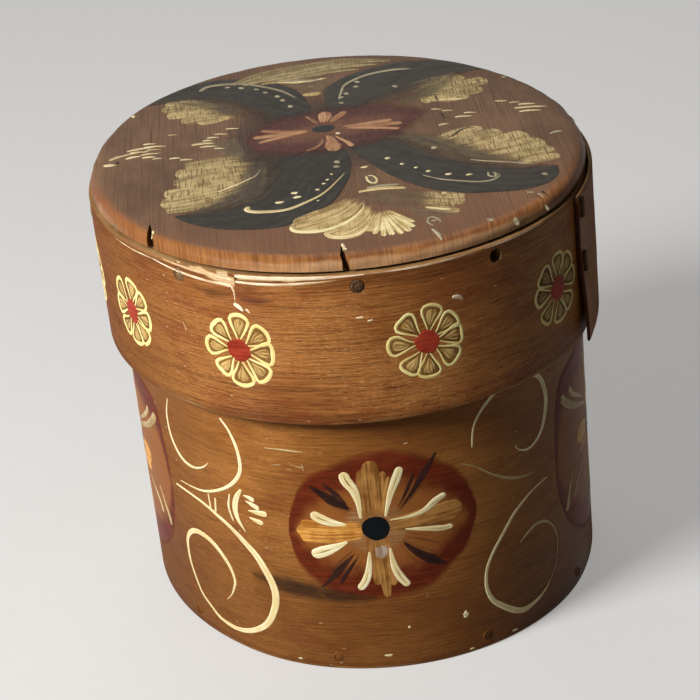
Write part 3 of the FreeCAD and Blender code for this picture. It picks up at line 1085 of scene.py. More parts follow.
# %% A pot of paint
class Pot:
    """A colour of paint on one piece of wood. Strokes collect here until they are dry."""

    def __init__(self, name, ground, material, layer):
        self.name, self.ground, self.material, self.layer = name, ground, material, layer
        self.strokes = []

    def lay(self, left, right, columns, crown, step):
        """Spreads a copy of the strip between two edges, and lays it on the wood."""
        width = np.linalg.norm(left - right, axis=1)
        rows = int(np.clip(round(width.max() / step), 3, 26))
        pattern, column, row, above = strip_pattern(columns, rows)
        mesh = pattern.copy()
        lip = np.minimum(LIP / np.maximum(width, 0.05), 0.3)[column]
        on_rim = (row == 0) | (row == rows)
        share = np.where(on_rim, row / rows, lip + (1 - 2 * lip) * (row - 1) / max(rows - 2, 1))
        flat = right[column] + (left - right)[column] * share[:, None]
        number = len(self.strokes)
        level = self.layer + STAGGER * (number % 4)
        crowned = level + crown * (4 * share * (1 - share)) ** 0.6
        rise = np.where(on_rim | (column == 0) | (column == columns), -SUNK_RIM, crowned)
        rise = np.where(above, rise, -SUNK_BACK)
        mesh.vertices.foreach_set("co", (self.ground(flat, rise) * MM).ravel())
        run = lengths_of((left + right) / 2)
        edge = np.minimum(np.minimum(share, 1 - share) * width[column],
                          np.minimum(run[column], run[-1] - run[column]) + width[column] * 0.5)
        piece = bpy.data.objects.new(self.name, mesh)
        bpy.context.scene.collection.objects.link(piece)
        mark(piece, "edge", edge)
        mark(piece, "along", run[column] / run[-1])
        mark(piece, "across", share * 2 - 1)
        mark(piece, "stroke", np.full(len(column), (number * 0.618) % 1))
        # each stroke gets its own stretch of the pattern of hairs
        brush = np.stack([(share - 0.5) * width[column], run[column] + 310 * number], 1) * MM
        map_flat(piece, "brush", brush)
        map_flat(piece, "wood", flat * MM)
        self.strokes.append(piece)

    def stroke(self, points, widths, crown=0.04, step=0.6, blunt=1.0):
        """One pull of the brush: a line, its widths from start to end, and how blunt it starts."""
        length = curve(points, 2)[1]
        widths = np.asarray(widths, float)
        start, end = max(widths[0], 0.05) / 2 * blunt, max(widths[-1], 0.05) / 2
        cap = 1 - np.cos(np.linspace(0, math.pi / 2, 5))
        straight = max(length - start - end, length * 0.2)
        steps = int(np.clip(round(straight / STEP), 3, 90))
        at = np.r_[start * cap[:-1], start + straight * np.linspace(0, 1, steps + 1),
                   length - end * cap[-2::-1]]
        at = np.clip(np.maximum.accumulate(at), 0, length) / length
        middle, near, far = (curve(points, places)[0] for places in (
            at, np.clip(at - 0.004, 0, 1), np.clip(at + 0.004, 0, 1)))
        run = far - near
        side = (np.stack([-run[:, 1], run[:, 0]], 1)
                / np.maximum(np.linalg.norm(run, axis=1), 1e-9)[:, None])
        half = np.interp(at, np.linspace(0, 1, len(widths)), widths) / 2
        for gap, size in ((at * length, start), ((1 - at) * length, end)):
            half = half * np.sqrt(np.clip(1 - (1 - np.minimum(gap / size, 1)) ** 2, 0.0004, 1))
        half = np.maximum(half, OPEN)[:, None]
        self.lay(middle + side * half, middle - side * half, len(at) - 1, crown, step)

    def patch(self, upper, lower, crown=0.0, step=2.5):
        """Paint spread between two edges that meet at both their ends."""
        length = max(curve(upper, 2)[1], curve(lower, 2)[1])
        steps = int(np.clip(round(length / step), 8, 60))
        tip = 0.2 / length
        at = np.r_[0, tip, np.linspace(0, 1, steps + 1)[1:-1], 1 - tip, 1]
        left, right = curve(upper, at)[0], curve(lower, at)[0]
        meet = (np.linalg.norm(left - right, axis=1) < 2 * OPEN)[:, None]
        self.lay(np.where(meet, left + (0, OPEN), left), np.where(meet, right - (0, OPEN), right),
                 len(at) - 1, crown, step)

    def dab(self, centre, size, turn=0.0, crown=0.05, ragged=0.0, step=0.7):
        """A touch of the brush: a small oval, as long and wide as told."""
        random = np.random.default_rng(len(self.strokes) + 5)
        around, t = np.radians(np.linspace(0, 180, 9)), math.radians(turn)
        both = []
        for side in (1, -1):
            swell = 1 + ragged * random.uniform(-1, 1, len(around))
            swell[[0, -1]] = 1
            x = -np.cos(around) * (size[0] / 2) * swell
            y = side * np.sin(around) * (size[1] / 2) * swell
            both.append(np.stack([x * math.cos(t) - y * math.sin(t),
                                  x * math.sin(t) + y * math.cos(t)], 1) + np.array(centre))
        steps = int(np.clip(round(max(size) / step), 6, 30))
        at = (1 - np.cos(np.linspace(0, math.pi, steps + 1))) / 2
        left, right = curve(both[0], at)[0], curve(both[1], at)[0]
        left[[0, -1]] += (0, OPEN)
        right[[0, -1]] -= (0, OPEN)
        self.lay(left, right, steps, crown, step)

    def brush(self, rows, place=None, widths="", **how):
        """Strokes from rows of text."""
        for line, its_widths in strokes_in(rows, place, widths):
            self.stroke(line, its_widths, **how)

    def patches(self, rows, place=None, **how):
        """Patches from rows of text: one edge, a bar, and the other edge."""
        for row in rows.strip().splitlines():
            self.patch(*(spots_in(edge, place) for edge in row.split("|")), **how)

    def dots(self, dots, **how):
        """Dabs from text: the place and the size of each."""
        for x, y, long, wide in in_groups(dots, 4):
            self.dab((x, y), (long, wide), **how)

    def dry(self, body, slot):
        """Joins the strokes into one piece that rides with its wood. It throws no shadow on it,
        since real paint lies flat."""
        piece = join(self.strokes, self.name)
        piece.data.materials.clear()
        wear_finishes(piece, self.material)
        smooth(piece, 60)
        piece.visible_shadow = False
        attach(piece, body)

# %% [markdown]
# The ground of a stroke is the wood that it lies on. On the walls the bend gives it. The
# board's top has been warped and worn, so there the strokes are dropped straight down on
# to its mesh, and a crack doesn't swallow them.

# %% Grounds
board_tree = BVHTree.FromObject(lid_plank, bpy.context.evaluated_depsgraph_get())


def on_board(flat, rise):
    laid = np.empty((len(flat), 3))
    expected = top_height(flat[:, 0], flat[:, 1])
    for i, ((x, y), up) in enumerate(zip(flat, rise)):
        hit, normal, _, _ = board_tree.ray_cast(Vector((x * MM, y * MM, 0.25)), Vector((0, 0, -1)))
        if hit is None or hit.z / MM < expected[i] - 5:
            laid[i] = x, y, expected[i] - 3
        else:
            laid[i] = np.array(hit) / MM + np.array(normal) * up
    return laid


def on_wall(strip):
    return lambda flat, rise: strip.paint(np.column_stack([flat, rise]))


on_lid, on_box = on_wall(lid_strip), on_wall(body_strip)

# %% [markdown]
# ## The paints
#
# Paint from a brush is never one colour. The hairs leave furrows, lighter and darker along
# the stroke, and where the brush runs dry the paint breaks up into them and the wood shows.
# So noise drawn out along the stroke sets the colour, the relief and, with the load left on
# the brush, how well the paint covers. Fine lines of the wood's grain break the coat too.

# %% Paint maker
def brush_paint(name, light, deep, load=(0.85, 1.15), thin=0.0, soft=0.25, hairs=1500,
                contrast=1.6, grain=None, shine=0.40, inner=None, cover=1.0, fade=0.45,
                fading_side=None, furrow=0.0):
    """A paint, and how it was laid on. It runs out between the two shares of the stroke that
    load gives, is full this soft way in from the edge, and breaks up with thin and contrast.
    Hairs is how fine they are, and grain how the wood's lines break the paint. Inner is a
    colour for the middle, fading_side the side where it thins out, furrow a line down it."""
    f = Finish(name)
    brush, wood = f.flat("brush"), f.flat("wood")
    streak = f.grain(brush, (hairs, 34, 1), detail=4, roughness=0.6)
    fine = f.grain(brush, (hairs * 3, 110, 1), detail=2)
    cloud = f.grain(wood, (170, 170, 1))
    drag = streak * 0.7 + fine * 0.3
    edge, along, across = f.number("edge"), f.number("along"), f.number("across")
    shade = (f.number("stroke") - 0.5) * 0.12
    ridge = (1 - across.math("ABSOLUTE", across).rise(0.05, 0.55)) * furrow
    tone = f.mix((drag + (cloud - 0.5) * 0.35 + shade - ridge * 0.2).rise(0.38, 0.60), deep, light)
    if inner:
        middle_tone, reach = inner
        tone = f.mix((edge + (cloud - 0.5) * 8).rise(*reach), tone, middle_tone)
    left = 1 - along.rise(*load)
    coat = (left * 1.5 - thin + (drag - 0.5) * 2 * contrast).rise(0.0, fade)
    coat = coat * (edge + (drag - 0.5) * soft).rise(0.0, soft)
    if fading_side:
        coat = coat * (1 - (across + (drag - 0.5) * 0.9).rise(*fading_side))
    if grain:
        scale, turn, depth = grain
        coat = coat * (1 - f.grain(wood, scale, turn, detail=4, warp=0.2).rise(0.50, 0.62) * depth)
    coat = coat * (1 - cloud.rise(0.60, 0.72) * thin * 0.6) * cover
    rough = shine + (fine - 0.5) * 0.15 + (1 - coat) * 0.08
    return f.feed(colour=tone, alpha=coat, roughness=rough,
                  normal=f.relief(drag + cloud * 0.3, 0.00022, 0.8))


BOARD_LINES = (1300, 95, 1)
BOARD_GRAIN = (BOARD_LINES, BOARD_TURN, 0.75)
FAINT_GRAIN = ((1500, 60, 1), BOARD_TURN, 0.25)
RED_GRAIN = ((16, 700, 1), 0.0, 0.12)

board_shade = brush_paint("board_dark_shade", "#332A21", "#241D18", soft=30, contrast=0.3, thin=0.1,
                          hairs=300, grain=FAINT_GRAIN, cover=0.75)
board_glow = brush_paint("board_dark_red", "#5A2A22", "#47201B", soft=11, contrast=0.3, thin=0.05,
                         hairs=300, grain=FAINT_GRAIN, inner=("#6E4630", (13, 26)), cover=0.88)
leaf_black = brush_paint("leaf_black", "#38332B", "#26221C", load=(1.2, 1.6), soft=1.1,
                         contrast=0.4, hairs=320, shine=0.46, fading_side=(0.05, 0.98))
leaf_gold = brush_paint("leaf_gold", "#BFA673", "#847045", load=(0.3, 1), soft=1.7, contrast=0.6,
                        hairs=650, grain=BOARD_GRAIN, fade=1.1, shine=0.44)
fan_ochre = brush_paint("fan_ochre", "#CEB37A", "#8F7344", load=(0.55, 1.1), soft=0.7, contrast=0.5,
                        hairs=900, grain=(BOARD_LINES, BOARD_TURN, 0.4), fade=0.9, shine=0.44)
fan_olive = brush_paint("fan_olive", "#A9946A", "#75633F", load=(0.7, 1.2), soft=1.2, contrast=0.7,
                        hairs=900, grain=(BOARD_LINES, BOARD_TURN, 0.3), fade=0.9, shine=0.46)
board_rib = brush_paint("board_fan_rib", "#EFDDA6", "#B5985E", load=(0.5, 1.1), thin=0.05, soft=0.5,
                        contrast=0.8, hairs=1200)
board_film = brush_paint("board_grey_film", "#75654D", "#584833", thin=0.1, soft=5, contrast=0.5,
                         hairs=500, grain=FAINT_GRAIN, cover=0.6)
board_cream = brush_paint("board_cream", "#EEDFAE", "#C2A873", load=(0.8, 1.2), thin=0.15,
                          hairs=1600)
board_faint = brush_paint("board_faint_cream", "#B0A385", "#85775B", load=(0.6, 1.1), thin=0.5,
                          hairs=1700, contrast=1.8)
board_peach = brush_paint("board_peach", "#C2946A", "#8A5A3C", load=(0.6, 1.1), thin=0.25, soft=0.5,
                          cover=0.9)
hatch_gold = brush_paint("hatch_gold", "#E9D7A6", "#B2986A", load=(0.5, 1.1), thin=0.2,
                         contrast=1.1)
board_olive = brush_paint("board_olive_film", "#86754F", "#5C4B31", load=(0.6, 1.3), thin=0.2,
                          soft=5, contrast=0.9, hairs=600, grain=BOARD_GRAIN, cover=0.7, fade=0.9)
board_veil = brush_paint("board_olive_veil", "#5E5439", "#38322A", load=(1.2, 1.6), soft=6,
                         contrast=1.2, hairs=700, cover=0.75)
ink = brush_paint("round_black", "#15171A", "#0C0E10", soft=0.3, contrast=0.4, shine=0.34)
wall_cream = brush_paint("wall_cream", "#FFF4C8", "#E6CE92", load=(0.95, 1.3), hairs=1300,
                         furrow=0.45)
wall_glow = brush_paint("wall_dark_red", "#6F2616", "#591B0D", soft=4.5, contrast=0.3, hairs=300,
                        grain=RED_GRAIN, inner=("#93592A", (10.5, 22)), cover=0.92)
wall_haze = brush_paint("wall_pale_haze", "#B59064", "#946B42", soft=6, contrast=0.3, cover=0.65)
wall_orange = brush_paint("wall_orange", "#E8A853", "#A96A28", load=(0.5, 1.25), thin=0.05,
                          hairs=820, soft=0.5, contrast=0.9, fade=0.9)
wall_amber = brush_paint("wall_amber", "#BC8748", "#7C5023", load=(0.5, 1.25), thin=0.2, hairs=820,
                         soft=0.5, contrast=1, fade=0.9, cover=0.9)
wall_dim = brush_paint("wall_dim_cream", "#D2BB8C", "#A0824F", load=(0.8, 1.3), thin=0.15,
                       contrast=1.2)
wall_groove = brush_paint("wall_olive_groove", "#A58F52", "#6E5A2C", soft=0.3, thin=0.1)
wall_bruise = brush_paint("wall_bruise", "#5E382B", "#3D211A", soft=3, thin=0.1, contrast=1.2,
                          hairs=500, cover=0.65)
# pale paint for bare fibres, and for a painted highlight along the rim's top edge
fibre_and_highlight_paint = brush_paint("wall_fibre_and_painted_highlight", "#FFEBCB", "#D3AC7B", load=(0.8, 1.2), thin=0.15,
                         hairs=1400, shine=0.5)
wall_dab = brush_paint("wall_grey_dab", "#D6C5B0", "#A08770", soft=1.4, thin=0.1, hairs=700,
                       cover=0.85)
wall_dark = brush_paint("wall_dark_leaf", "#3A211B", "#25140F", load=(0.6, 1.15), thin=0.35,
                        soft=0.7, contrast=1.4, hairs=1300)
wall_smear = brush_paint("wall_smear", "#46301F", "#2E1E16", load=(0.9, 1.5), thin=0.4, soft=5,
                         hairs=700, cover=0.85, fade=0.9)
petal_glaze = brush_paint("petal_olive", "#8A6C38", "#60451E", soft=0.4, thin=0.2, contrast=1,
                          cover=0.7)
petal_gold = brush_paint("petal_gold", "#D0A967", "#8E6532", soft=0.5, thin=0.2, contrast=1.3,
                         hairs=1200, cover=0.85)
rosette_cream = brush_paint("rosette_cream", "#FFF0A6", "#EDD281", contrast=1.2)
heart_red = brush_paint("heart_red", "#B0412D", "#8A2D1E", soft=0.3, contrast=0.6, shine=0.46)

# %% [markdown]
# ## Ornament on the lid's top
#
# A rosette with four petals sits on a dull red ground, and four dark leaves spread from it.
# Each leaf is a black shape first. Broad strokes of gold then start at its outer edge, where
# their round beginnings make the scallops, and run dry towards the dark. A cream curl and a
# row of dots finish it. Two fans of the same kind fill the front and the back, the far one
# more olive.

# %% Dark leaves
shade = Pot("top_dark_shade", on_board, board_shade, SHADE)
shade.patches("""
    -48,12 -44,34 -34,54 -12,72 8,72 22,56 31,38 33,14 | -48,11.8 -45,-12 -34,-32 -12,-46 8,-46 \
        22,-34 31,-14 33,13.8
    """)
glow = Pot("top_red_ground", on_board, board_glow, GROUND)
glow.patches("-36,19 -30,36 -12,46 10,47 34,40 52,20 | -36,18.8 -33,3 -16,-9 4,-12 30,-6 52,19.8")

black = Pot("top_black_leaves", on_board, leaf_black, LEAF)
black.patches("""
    -80,-46.5 -68,-42.5 -56,-38 -47,-29 -43,-16 -40,-2 -33,9 -20,12 1,6 | -80,-46.8 -76,-56 -68,-66 \
        -56,-74 -40,-78 -28,-71 -17,-64 -8,-50 -1,-34 3,-16 1.2,6
    5,4 22,7 36,0 44,-14 50,-30 58,-44 68,-56 78.8,-67 | 5,3.7 6,-18 9,-32 12.5,-46 17,-57 24,-69 \
        34,-78 44,-82.5 57,-86 69,-84 76.5,-76 78.8,-67.4
    -69,87.6 -58,85 -46,77 -38,66 -34,53 -28,40 -16,32 -2,32.5 | -69,88 -59,97 -50,103.5 -39,107.5 \
        -29,107.5 -19,103 -10,95 -2,84 2,70 2,52 -1.8,32.8
    6,32.2 22,30 40,30 54,34 62,42 70,50 78,56 87,59.7 | 6,32.5 9,52 12.5,69 20,77.5 28,83.5 40,87.5 \
        55,89.5 68,85 78,78 84,69 87,60
    """)

# %% Gold of the leaves
gold = Pot("top_gold_leaves", on_board, leaf_gold, UNDER)
hand = np.random.default_rng(8)
for line, widths in strokes_in("""
    -65,5 -56,5 -45,4 -34,0 | 9 11 10 6
    -70,-3 -58,-3 -46,-5 -30,-9 | 12 13 12 7
    -75,-13 -62,-12 -48,-13 -29,-18 | 13 14 12 7
    -79,-23 -65,-23 -50,-22 -32,-24 | 14 14 12 6
    -80.5,-32 -67,-33 -53,-31 -38,-26 | 14 14 11 5
    -80.5,-40 -69,-41 -57,-39 -46,-35 | 9 9 7 4
    63,-11.5 55,-13 47,-15 36,-17 | 8 11 9 5
    71,-19 61,-21 51,-23 38,-24 | 11 13 11 6
    78,-28 67,-30 56,-32 42,-33 | 13 14 11 6
    83,-38 72,-40 61,-41 48,-42 | 13 14 10 6
    85,-48 75,-49 65,-50 54,-49 | 12 13 9 5
    83,-57 75,-57 67,-57 59,-55 | 9 9 7 3
    -58,86 -50,83 -42,76 -35,68 | 9 12 9 5
    -62,80 -53,77 -43,71 -33,63 | 11 13 10 6
    -62,70 -53,69 -42,65 -32,58 | 12 13 10 6
    -57,60 -49,60 -40,59 -30,55 | 12 12 9 5
    -49,54 -42,55 -36,55 -29,53 | 8 9 7 4
    83,45 71,44 60,43 46,42 | 13 13 10 6
    79,36 69,35 60,36 46,38 | 13 14 10 6
    72,28 63,30 56,33 45,37 | 9 12 9 5
    78,54 67,53 58,51 46,47 | 10 11 8 5
    76,62 66,60 57,57 46,53 | 6 7 6 4
    34,-80 28,-77 21,-72 16,-67 | 8 9 8 4
    33,-86 26,-84 19,-79 13,-74 | 8 9 8 4
    28,-94 23,-90.4 18,-85.6 13,-80 | 7 8 6 3
    """):
    # each stroke starts a little sooner or later and is pressed a little harder or softer
    reach, press = hand.uniform(-0.20, 0.16), hand.uniform(0.72, 1.16)
    (ax, ay), (bx, by) = line[:2]
    start = (ax + (bx - ax) * reach, ay + (by - ay) * reach)
    gold.stroke([start, *line[1:]], (widths[0] * press, *widths[1:]), crown=0.012, step=1.6,
                blunt=0.45)
gold.patches("49,29 49,36 52,40.5 57,40 | 49.2,28.6 53,28 57,33 57.2,39.7")

# %% Fans
far_fan = Pot("top_far_fan", on_board, fan_olive, FAN)
far_fan.brush("""
    -26,97 -10,103.5 10,105.5 30,103.5 53,93 | 5 10 10 10 4
    -21,94 -8,97 10,98.5 28,97.5 45,91 | 4 9 9 8 3
    -13,91.5 0,91 12,92 26,91.5 36,89 | 3 7 7 6 3
    """, crown=0.02, step=1.4)
fans = Pot("top_ochre_fans", on_board, fan_ochre, FAN)
fans.brush("""
    -36,-76 -27,-73 -16,-67.5 -9,-61 | 8 9 7 3
    -38.4,-80 -27,-78 -15,-72 -6,-63 | 9 10 7 3
    -36.6,-84 -25,-82.5 -13,-76 -5,-66 | 7 9 7 3
    -26.4,-91 -18,-88.5 -10,-82 -4,-72 | 8 10 7 3
    -25.5,-95 -16,-93.5 -8.6,-86.5 -3.4,-77 | 7 9 6 3
    -9,-98.6 -5.6,-91 -1.6,-80 | 8 7 2
    -3.6,-101.6 -2.4,-92 -0.6,-80 | 9 7 2
    2.2,-101.4 1.6,-92 0.2,-80 | 9 7 2
    5.8,-97.4 4,-90 1.2,-80 | 6 5 2
    2,67.6 6,66 11.4,66 | 4 5.4 4
    7,76 10,76.4 | 3.4 3.6
    """, crown=0.02, step=1.4)

olive = Pot("top_olive_film", on_board, board_film, LEAF)
olive.patches("""
    -14,-57 0,-57 14,-61 22,-68 24,-76 | -14,-57.4 -4,-68 1,-79 11,-84 23.6,-76.6
    9,-80 18,-82 26,-90 27,-97 | 9,-80.6 8,-92 15,-99 26.4,-97.6
    """)
olive.brush("3,-36 4,-46 4,-58 | 9 12 9", crown=0, step=2)
olive.patches("""
    -9,88 4,86 14,85 22,86 | -9,87.6 1,76 8,63 14,70 21.8,85.6
    -52,30 -46,31 -38,30 | -52,29.6 -47,8 -38,4 -37.6,29.4
    """)

ribs = Pot("top_fan_ribs", on_board, board_rib, OVER)
ribs.brush("""
    -11,-97.6 -7,-90.5 -2.4,-81 | 2.6 2.4 0.8
    -9.4,-101 -5.6,-92 -1.8,-82 | 2.8 2.6 0.8
    -6.6,-104.6 -4,-95 -1.2,-84 | 3 2.6 0.8
    -3.2,-105 -2.2,-95 -0.6,-84 | 3.2 2.4 0.8
    0.4,-105.6 0.2,-95 0,-84 | 3.4 2.6 0.8
    4,-104.6 2.4,-95 0.6,-84 | 3.6 2.8 0.8
    6.6,-101.4 4.2,-93 1.4,-84 | 3.4 2.6 0.8
    8,-97 5.4,-90 2,-82 | 2.6 2.2 0.7
    -38.2,-79 -37.4,-84 -32,-87.4 -26,-88.4 -19,-86.6 -12.6,-81.4 -7,-74 -4,-66 | 2 3.4 3.6 3.2 2.4 \
        1.6 1 0.4
    -26.8,-90.4 -25.8,-95.6 -21,-98.8 -15.6,-98.4 -11.4,-95 -8,-89.6 | 2 3.4 3.6 3 2 0.8
    -33.6,-75 -24,-72.6 -14,-67.4 -7.6,-61 | 0.7 1.2 1 0.5
    -35,-80.4 -24,-78.8 -13,-73 -5,-63 | 0.7 1.4 1.2 0.5
    -32,-84.4 -22,-83 -12,-77 -4.6,-67 | 0.8 1.6 1.4 0.5
    -23.6,-92 -15.4,-89.6 -8.6,-82.6 -4,-73 | 0.7 1.5 1.3 0.5
    -22,-95.6 -14,-93 -8,-86.4 -3.6,-77 | 0.8 1.6 1.3 0.5
    -4.4,-57 3,-57 9,-58.8 15.6,-62 | 2 3.6 3.6 2
    -5,90 3,85.8 12,84.6 19.6,84.8 | 1.4 2.6 2.6 1.2
    16.4,-84.4 20.6,-88 25.6,-91.4 | 1.6 2.6 1.8
    27.6,-83.6 26.6,-90 | 1.4 0.9
    33.6,-79.6 32.4,-86.4 | 1.5 0.8
    56.6,29.4 62,28.6 67.4,26 | 2.6 3.4 2
    """, crown=0.03)

# %% [markdown]
# The lines come last: curls that start with a full, round touch and thin out along the leaf,
# rows of dots beside them, the petals of the middle, and rough hatching on both sides.

# %% Lines and dots of the top
cream = Pot("top_cream_lines", on_board, board_cream, LINE)
cream.brush("""
    -49.3,-50.8 -50.6,-54 -48,-57.5 -40,-60.8 -34.5,-61 -29,-58.8 -20,-53.5 -14,-47.5 -9,-41 -4.5,-35 \
        | 2.6 3.2 2.4 2 1.5 1.1 0.7
    -58,-29.5 -50,-26 -45,-23 -39.5,-19.5 -36,-14 | 1.2 1.4 1 0.4
    """)
cream.dots("""
    -36.6,-52.5,3.6,3 -28.5,-50.5,3.8,2.8 -28.7,-45.5,3,2.6 -19,-46.5,2,2 -15,-41.5,1.8,1.8
    -21.6,-58,1.4,1.3 -12.6,-38,1.5,1.6 -9.5,-33,1.3,2.2 16.7,-27,2.4,2.6 20.4,-36,1.8,2
    24.8,-42.5,2.1,2.2 28.3,-48.8,2.4,2.4 35,-55.8,3,2.4 42.5,-60.2,2.8,2.4 4.8,11.5,2.2,2.8
    5,-32,3.4,2.6 27.5,-74,2.6,2.4 -76,78,1.8,4
    """, ragged=0.2)
cream.brush("3.2,-42 2.6,-47 4.2,-51 6.3,-48 6,-43 3.9,-41.6 | 1.2 1.4 1.6 1.4 1 0.8")
veil = Pot("top_leaf_veil", on_board, board_veil, VEIL)
veil.brush("""
    -74,-48 -62,-44 -50,-38 -42,-28 -38,-15 -34,-3 | 5 13 18 19 17 8
    22,-2 33,-8 41,-20 48,-34 57,-47 68,-57 | 8 15 18 17 12 5
    -56,86 -45,79 -36,68 -31,54 | 6 13 16 9
    40,34 52,39 62,48 73,56 | 7 14 14 6
    """, crown=0, step=1.4)
creases = Pot("top_fan_creases", on_board, board_olive, CREASE)
creases.brush("""
    -16,98 0,99.4 16,98.6 31,96 | 1 2.6 2.6 1
    -8,92 6,90.6 22,91.4 | 1 2.4 1
    -14,104 4,105.6 22,104.4 | 1 2 1
    19,-76 25,-80 31,-84 | 0.8 1.4 0.8
    -34,-78 -24,-76 -14,-70.6 -7,-63 | 0.8 1.6 1.4 0.8
    -34,-82.6 -23,-81 -12.4,-75.4 -5.4,-66 | 0.8 1.8 1.4 0.8
    -23,-93.8 -15,-91.4 -8.4,-84.6 -4.4,-76 | 0.8 1.8 1.4 0.8
    """, crown=0, step=1)
cream.brush("-23.4,-104 -23.8,-111 | 1.2 1.8")
cream.dab((-90.6, -57.6), (1.6, 3.6))

faint = Pot("top_faint_lines", on_board, board_faint, LINE)
faint.brush("""
    -41,96 -36.5,100.5 -28.7,100 -20,96 -12.5,88 -6,78 -2,67 1,56 | 2.6 2.8 2.4 2.2 2 1.6 1.2
    16,53 19,61 23,70 30,76 38,79.5 48,80 56,78 61,73 | 1 1.4 1.8 2.2 2.4 2.8 3.4
    25,-52 31,-60 40,-67 45,-69.8 50,-69.8 53.5,-66 51.5,-61 | 0.8 1.2 1.5 1.6 1.8 1.6
    50.5,-61.5 49.6,-65 51.4,-67 52.8,-64 51.6,-61.2 | 1.2 1.4 1.2
    48,-45 55,-50.5 63,-56 75,-66 | 0.8 1.6 1.4 0.6
    -1,90 7,87 16,83 | 2 2.8 1.6
    12.6,-106 13.4,-112 13,-119 | 1.2 2.4 0.8
    0,-54.2 8,-55 15.6,-58 | 1.4 2.4 1.4
    14.4,-98.8 17,-98.8 | 1.2 1.2
    14,-103.5 13,-99 15.5,-94.8 17.8,-99 16,-103.6 | 1.2 1.4 1.2
    57.6,-88.4 60.6,-90.4 | 1 1.8
    61.4,-92 62.6,-96 | 1.5 0.7
    62.2,-99.4 61.4,-103.6 | 2.2 0.6
    -103,-36 -103.4,-42 | 1.4 1
    87.5,-33 91,-31.5 94,-33 | 1.2 2.2 1.2
    """)
for spot in spots_in("""
        -28,95 -22,91 -16,85.5 -13,79 -9,71 -8,65 -6.6,55 29.6,72 27.5,66 21,59 17.5,55.5 16,48 -4,-21
        -5.5,-26 38,-25 71,-74 36,-108 46,-110 44,57 93,44.5
        """):
    faint.dab(spot, (2.6, 3.6), turn=20, ragged=0.25)

petals = Pot("top_petals", on_board, board_peach, OVER)
petals.brush("""
    -26,31 -21,27.5 -14,23.5 -6,21 | 3 4 3.4 2
    -31,24 -24,23 -15,21.5 -6,20.5 | 4 5 4 2.6
    -30,17 -23,18.5 -14,19.4 -6,19.6 | 3 3.6 3 2
    -3,39 -1.5,33 -0.4,27 | 2 3 2
    6,40.5 4.6,34 2,27 | 6 7 3.4
    14.5,36.5 10,31.5 4.5,25.6 | 4 4.4 2.4
    -13,-2 -8,0 -4.6,4 -2.4,9.5 | 2 2.6 2.2 1.2
    -1.6,-8.5 -1,-2 0,5 0.4,12 | 5 8 4.6 2.4
    6.6,-6.5 6,-1 4.4,4 2.6,10 | 3.4 2.8 2 1
    31,16 24,17 16,17.6 8,19 | 3 3.4 3 2
    34,10 27,12.5 18,15 9,18 | 4 5.4 4 2
    31,4 25,8 17,12.5 9,16.5 | 3 3.6 3 2
    """, step=0.9)
middle = Pot("top_black_middle", on_board, ink, LINE)
middle.dab((0.4, 20.2), (10.4, 8.8), ragged=0.08)
middle.dab((-92, 24), (1.5, 3.4), ragged=0.2)
middle.brush("""
    57.2,36 56.4,29.6 | 1.4 0.9
    53,13.5 52.6,6 | 1.2 0.7
    63.4,-90 64.6,-95 | 1.6 0.5
    60,-92.4 61,-98 | 0.9 0.4
    42.6,21 42.4,17 | 1 0.6
    45,-18 50,-14.8 55.6,-10 61,-10.4 | 0.6 1.6 2 0.8
    """, crown=0)

hatch = Pot("top_hatching", on_board, hatch_gold, OVER)
for ax, ay, bx, by, wide in in_groups("""
        -95,28.4,-86,31.6,3.4 -88,31.4,-77,31.2,2.2 -86,35.4,-74,34.8,3.2 -78,36.6,-69,33.6,2.2
        -85,33,-79,31,2.2 -78,32.4,-72,30.8,2.2 -88,26.4,-82,27.2,3.2 -81,28,-73,26.6,2.4
        -81,24.4,-76.4,23.2,2.8 -78,40,-73,38.6,2.6 -77,20.6,-73.6,20,2 -70,17.6,-66,16.4,2.6
        -66,14,-61.4,12,2.6 -65.6,46,-62,44.6,2.4 -98.4,22.6,-94,21.6,4.6 -58,29,-48.6,27,3.8
        -52.4,31.4,-49,30.2,2.6 -50,34,-45.8,32.8,2.4 -55.2,24.6,-48.4,22.8,2.8 -49.6,20.4,-46,18,2.2
        -46,37,-41,34.6,2.4 -40,41,-35,39,1.8 57,5.6,63.4,3.4,3 62,8.6,66.2,6.8,2.4 54,15.6,58,14,2.2
        79,16.2,83.4,13.6,2.4 84,11,88,10,1.8 87,7.2,93.4,4.6,3 84,3.6,98.4,-1.2,3.4
        84.6,-1.4,93.4,-4.2,2.6 47.6,-1.2,51.4,-0.4,3.2 50,20,54.4,17.4,2
        """, 5):
    bow = ((ax + bx) / 2, (ay + by) / 2 + 0.7)
    hatch.stroke([(ax, ay), bow, (bx + 1.6, by - 0.5)],
                 (wide * 0.55, wide * 0.8, wide * 0.5, 0.3))

for pot in (shade, glow, black, gold, far_fan, fans, olive, veil, creases, ribs, cream, faint,
            petals, middle, hatch):
    pot.dry("lid", "painted_board")

# %% [markdown]
# ## Rosettes round the lid's wall
#
# Ten small flowers stand about 70 mm apart round the lid. A petal is a thin glaze inside a
# cream outline, pulled in one loop from the middle and back, with some gold and hairs in it.
# No two are alike, so every petal gets its own size and swing from a seeded random number.

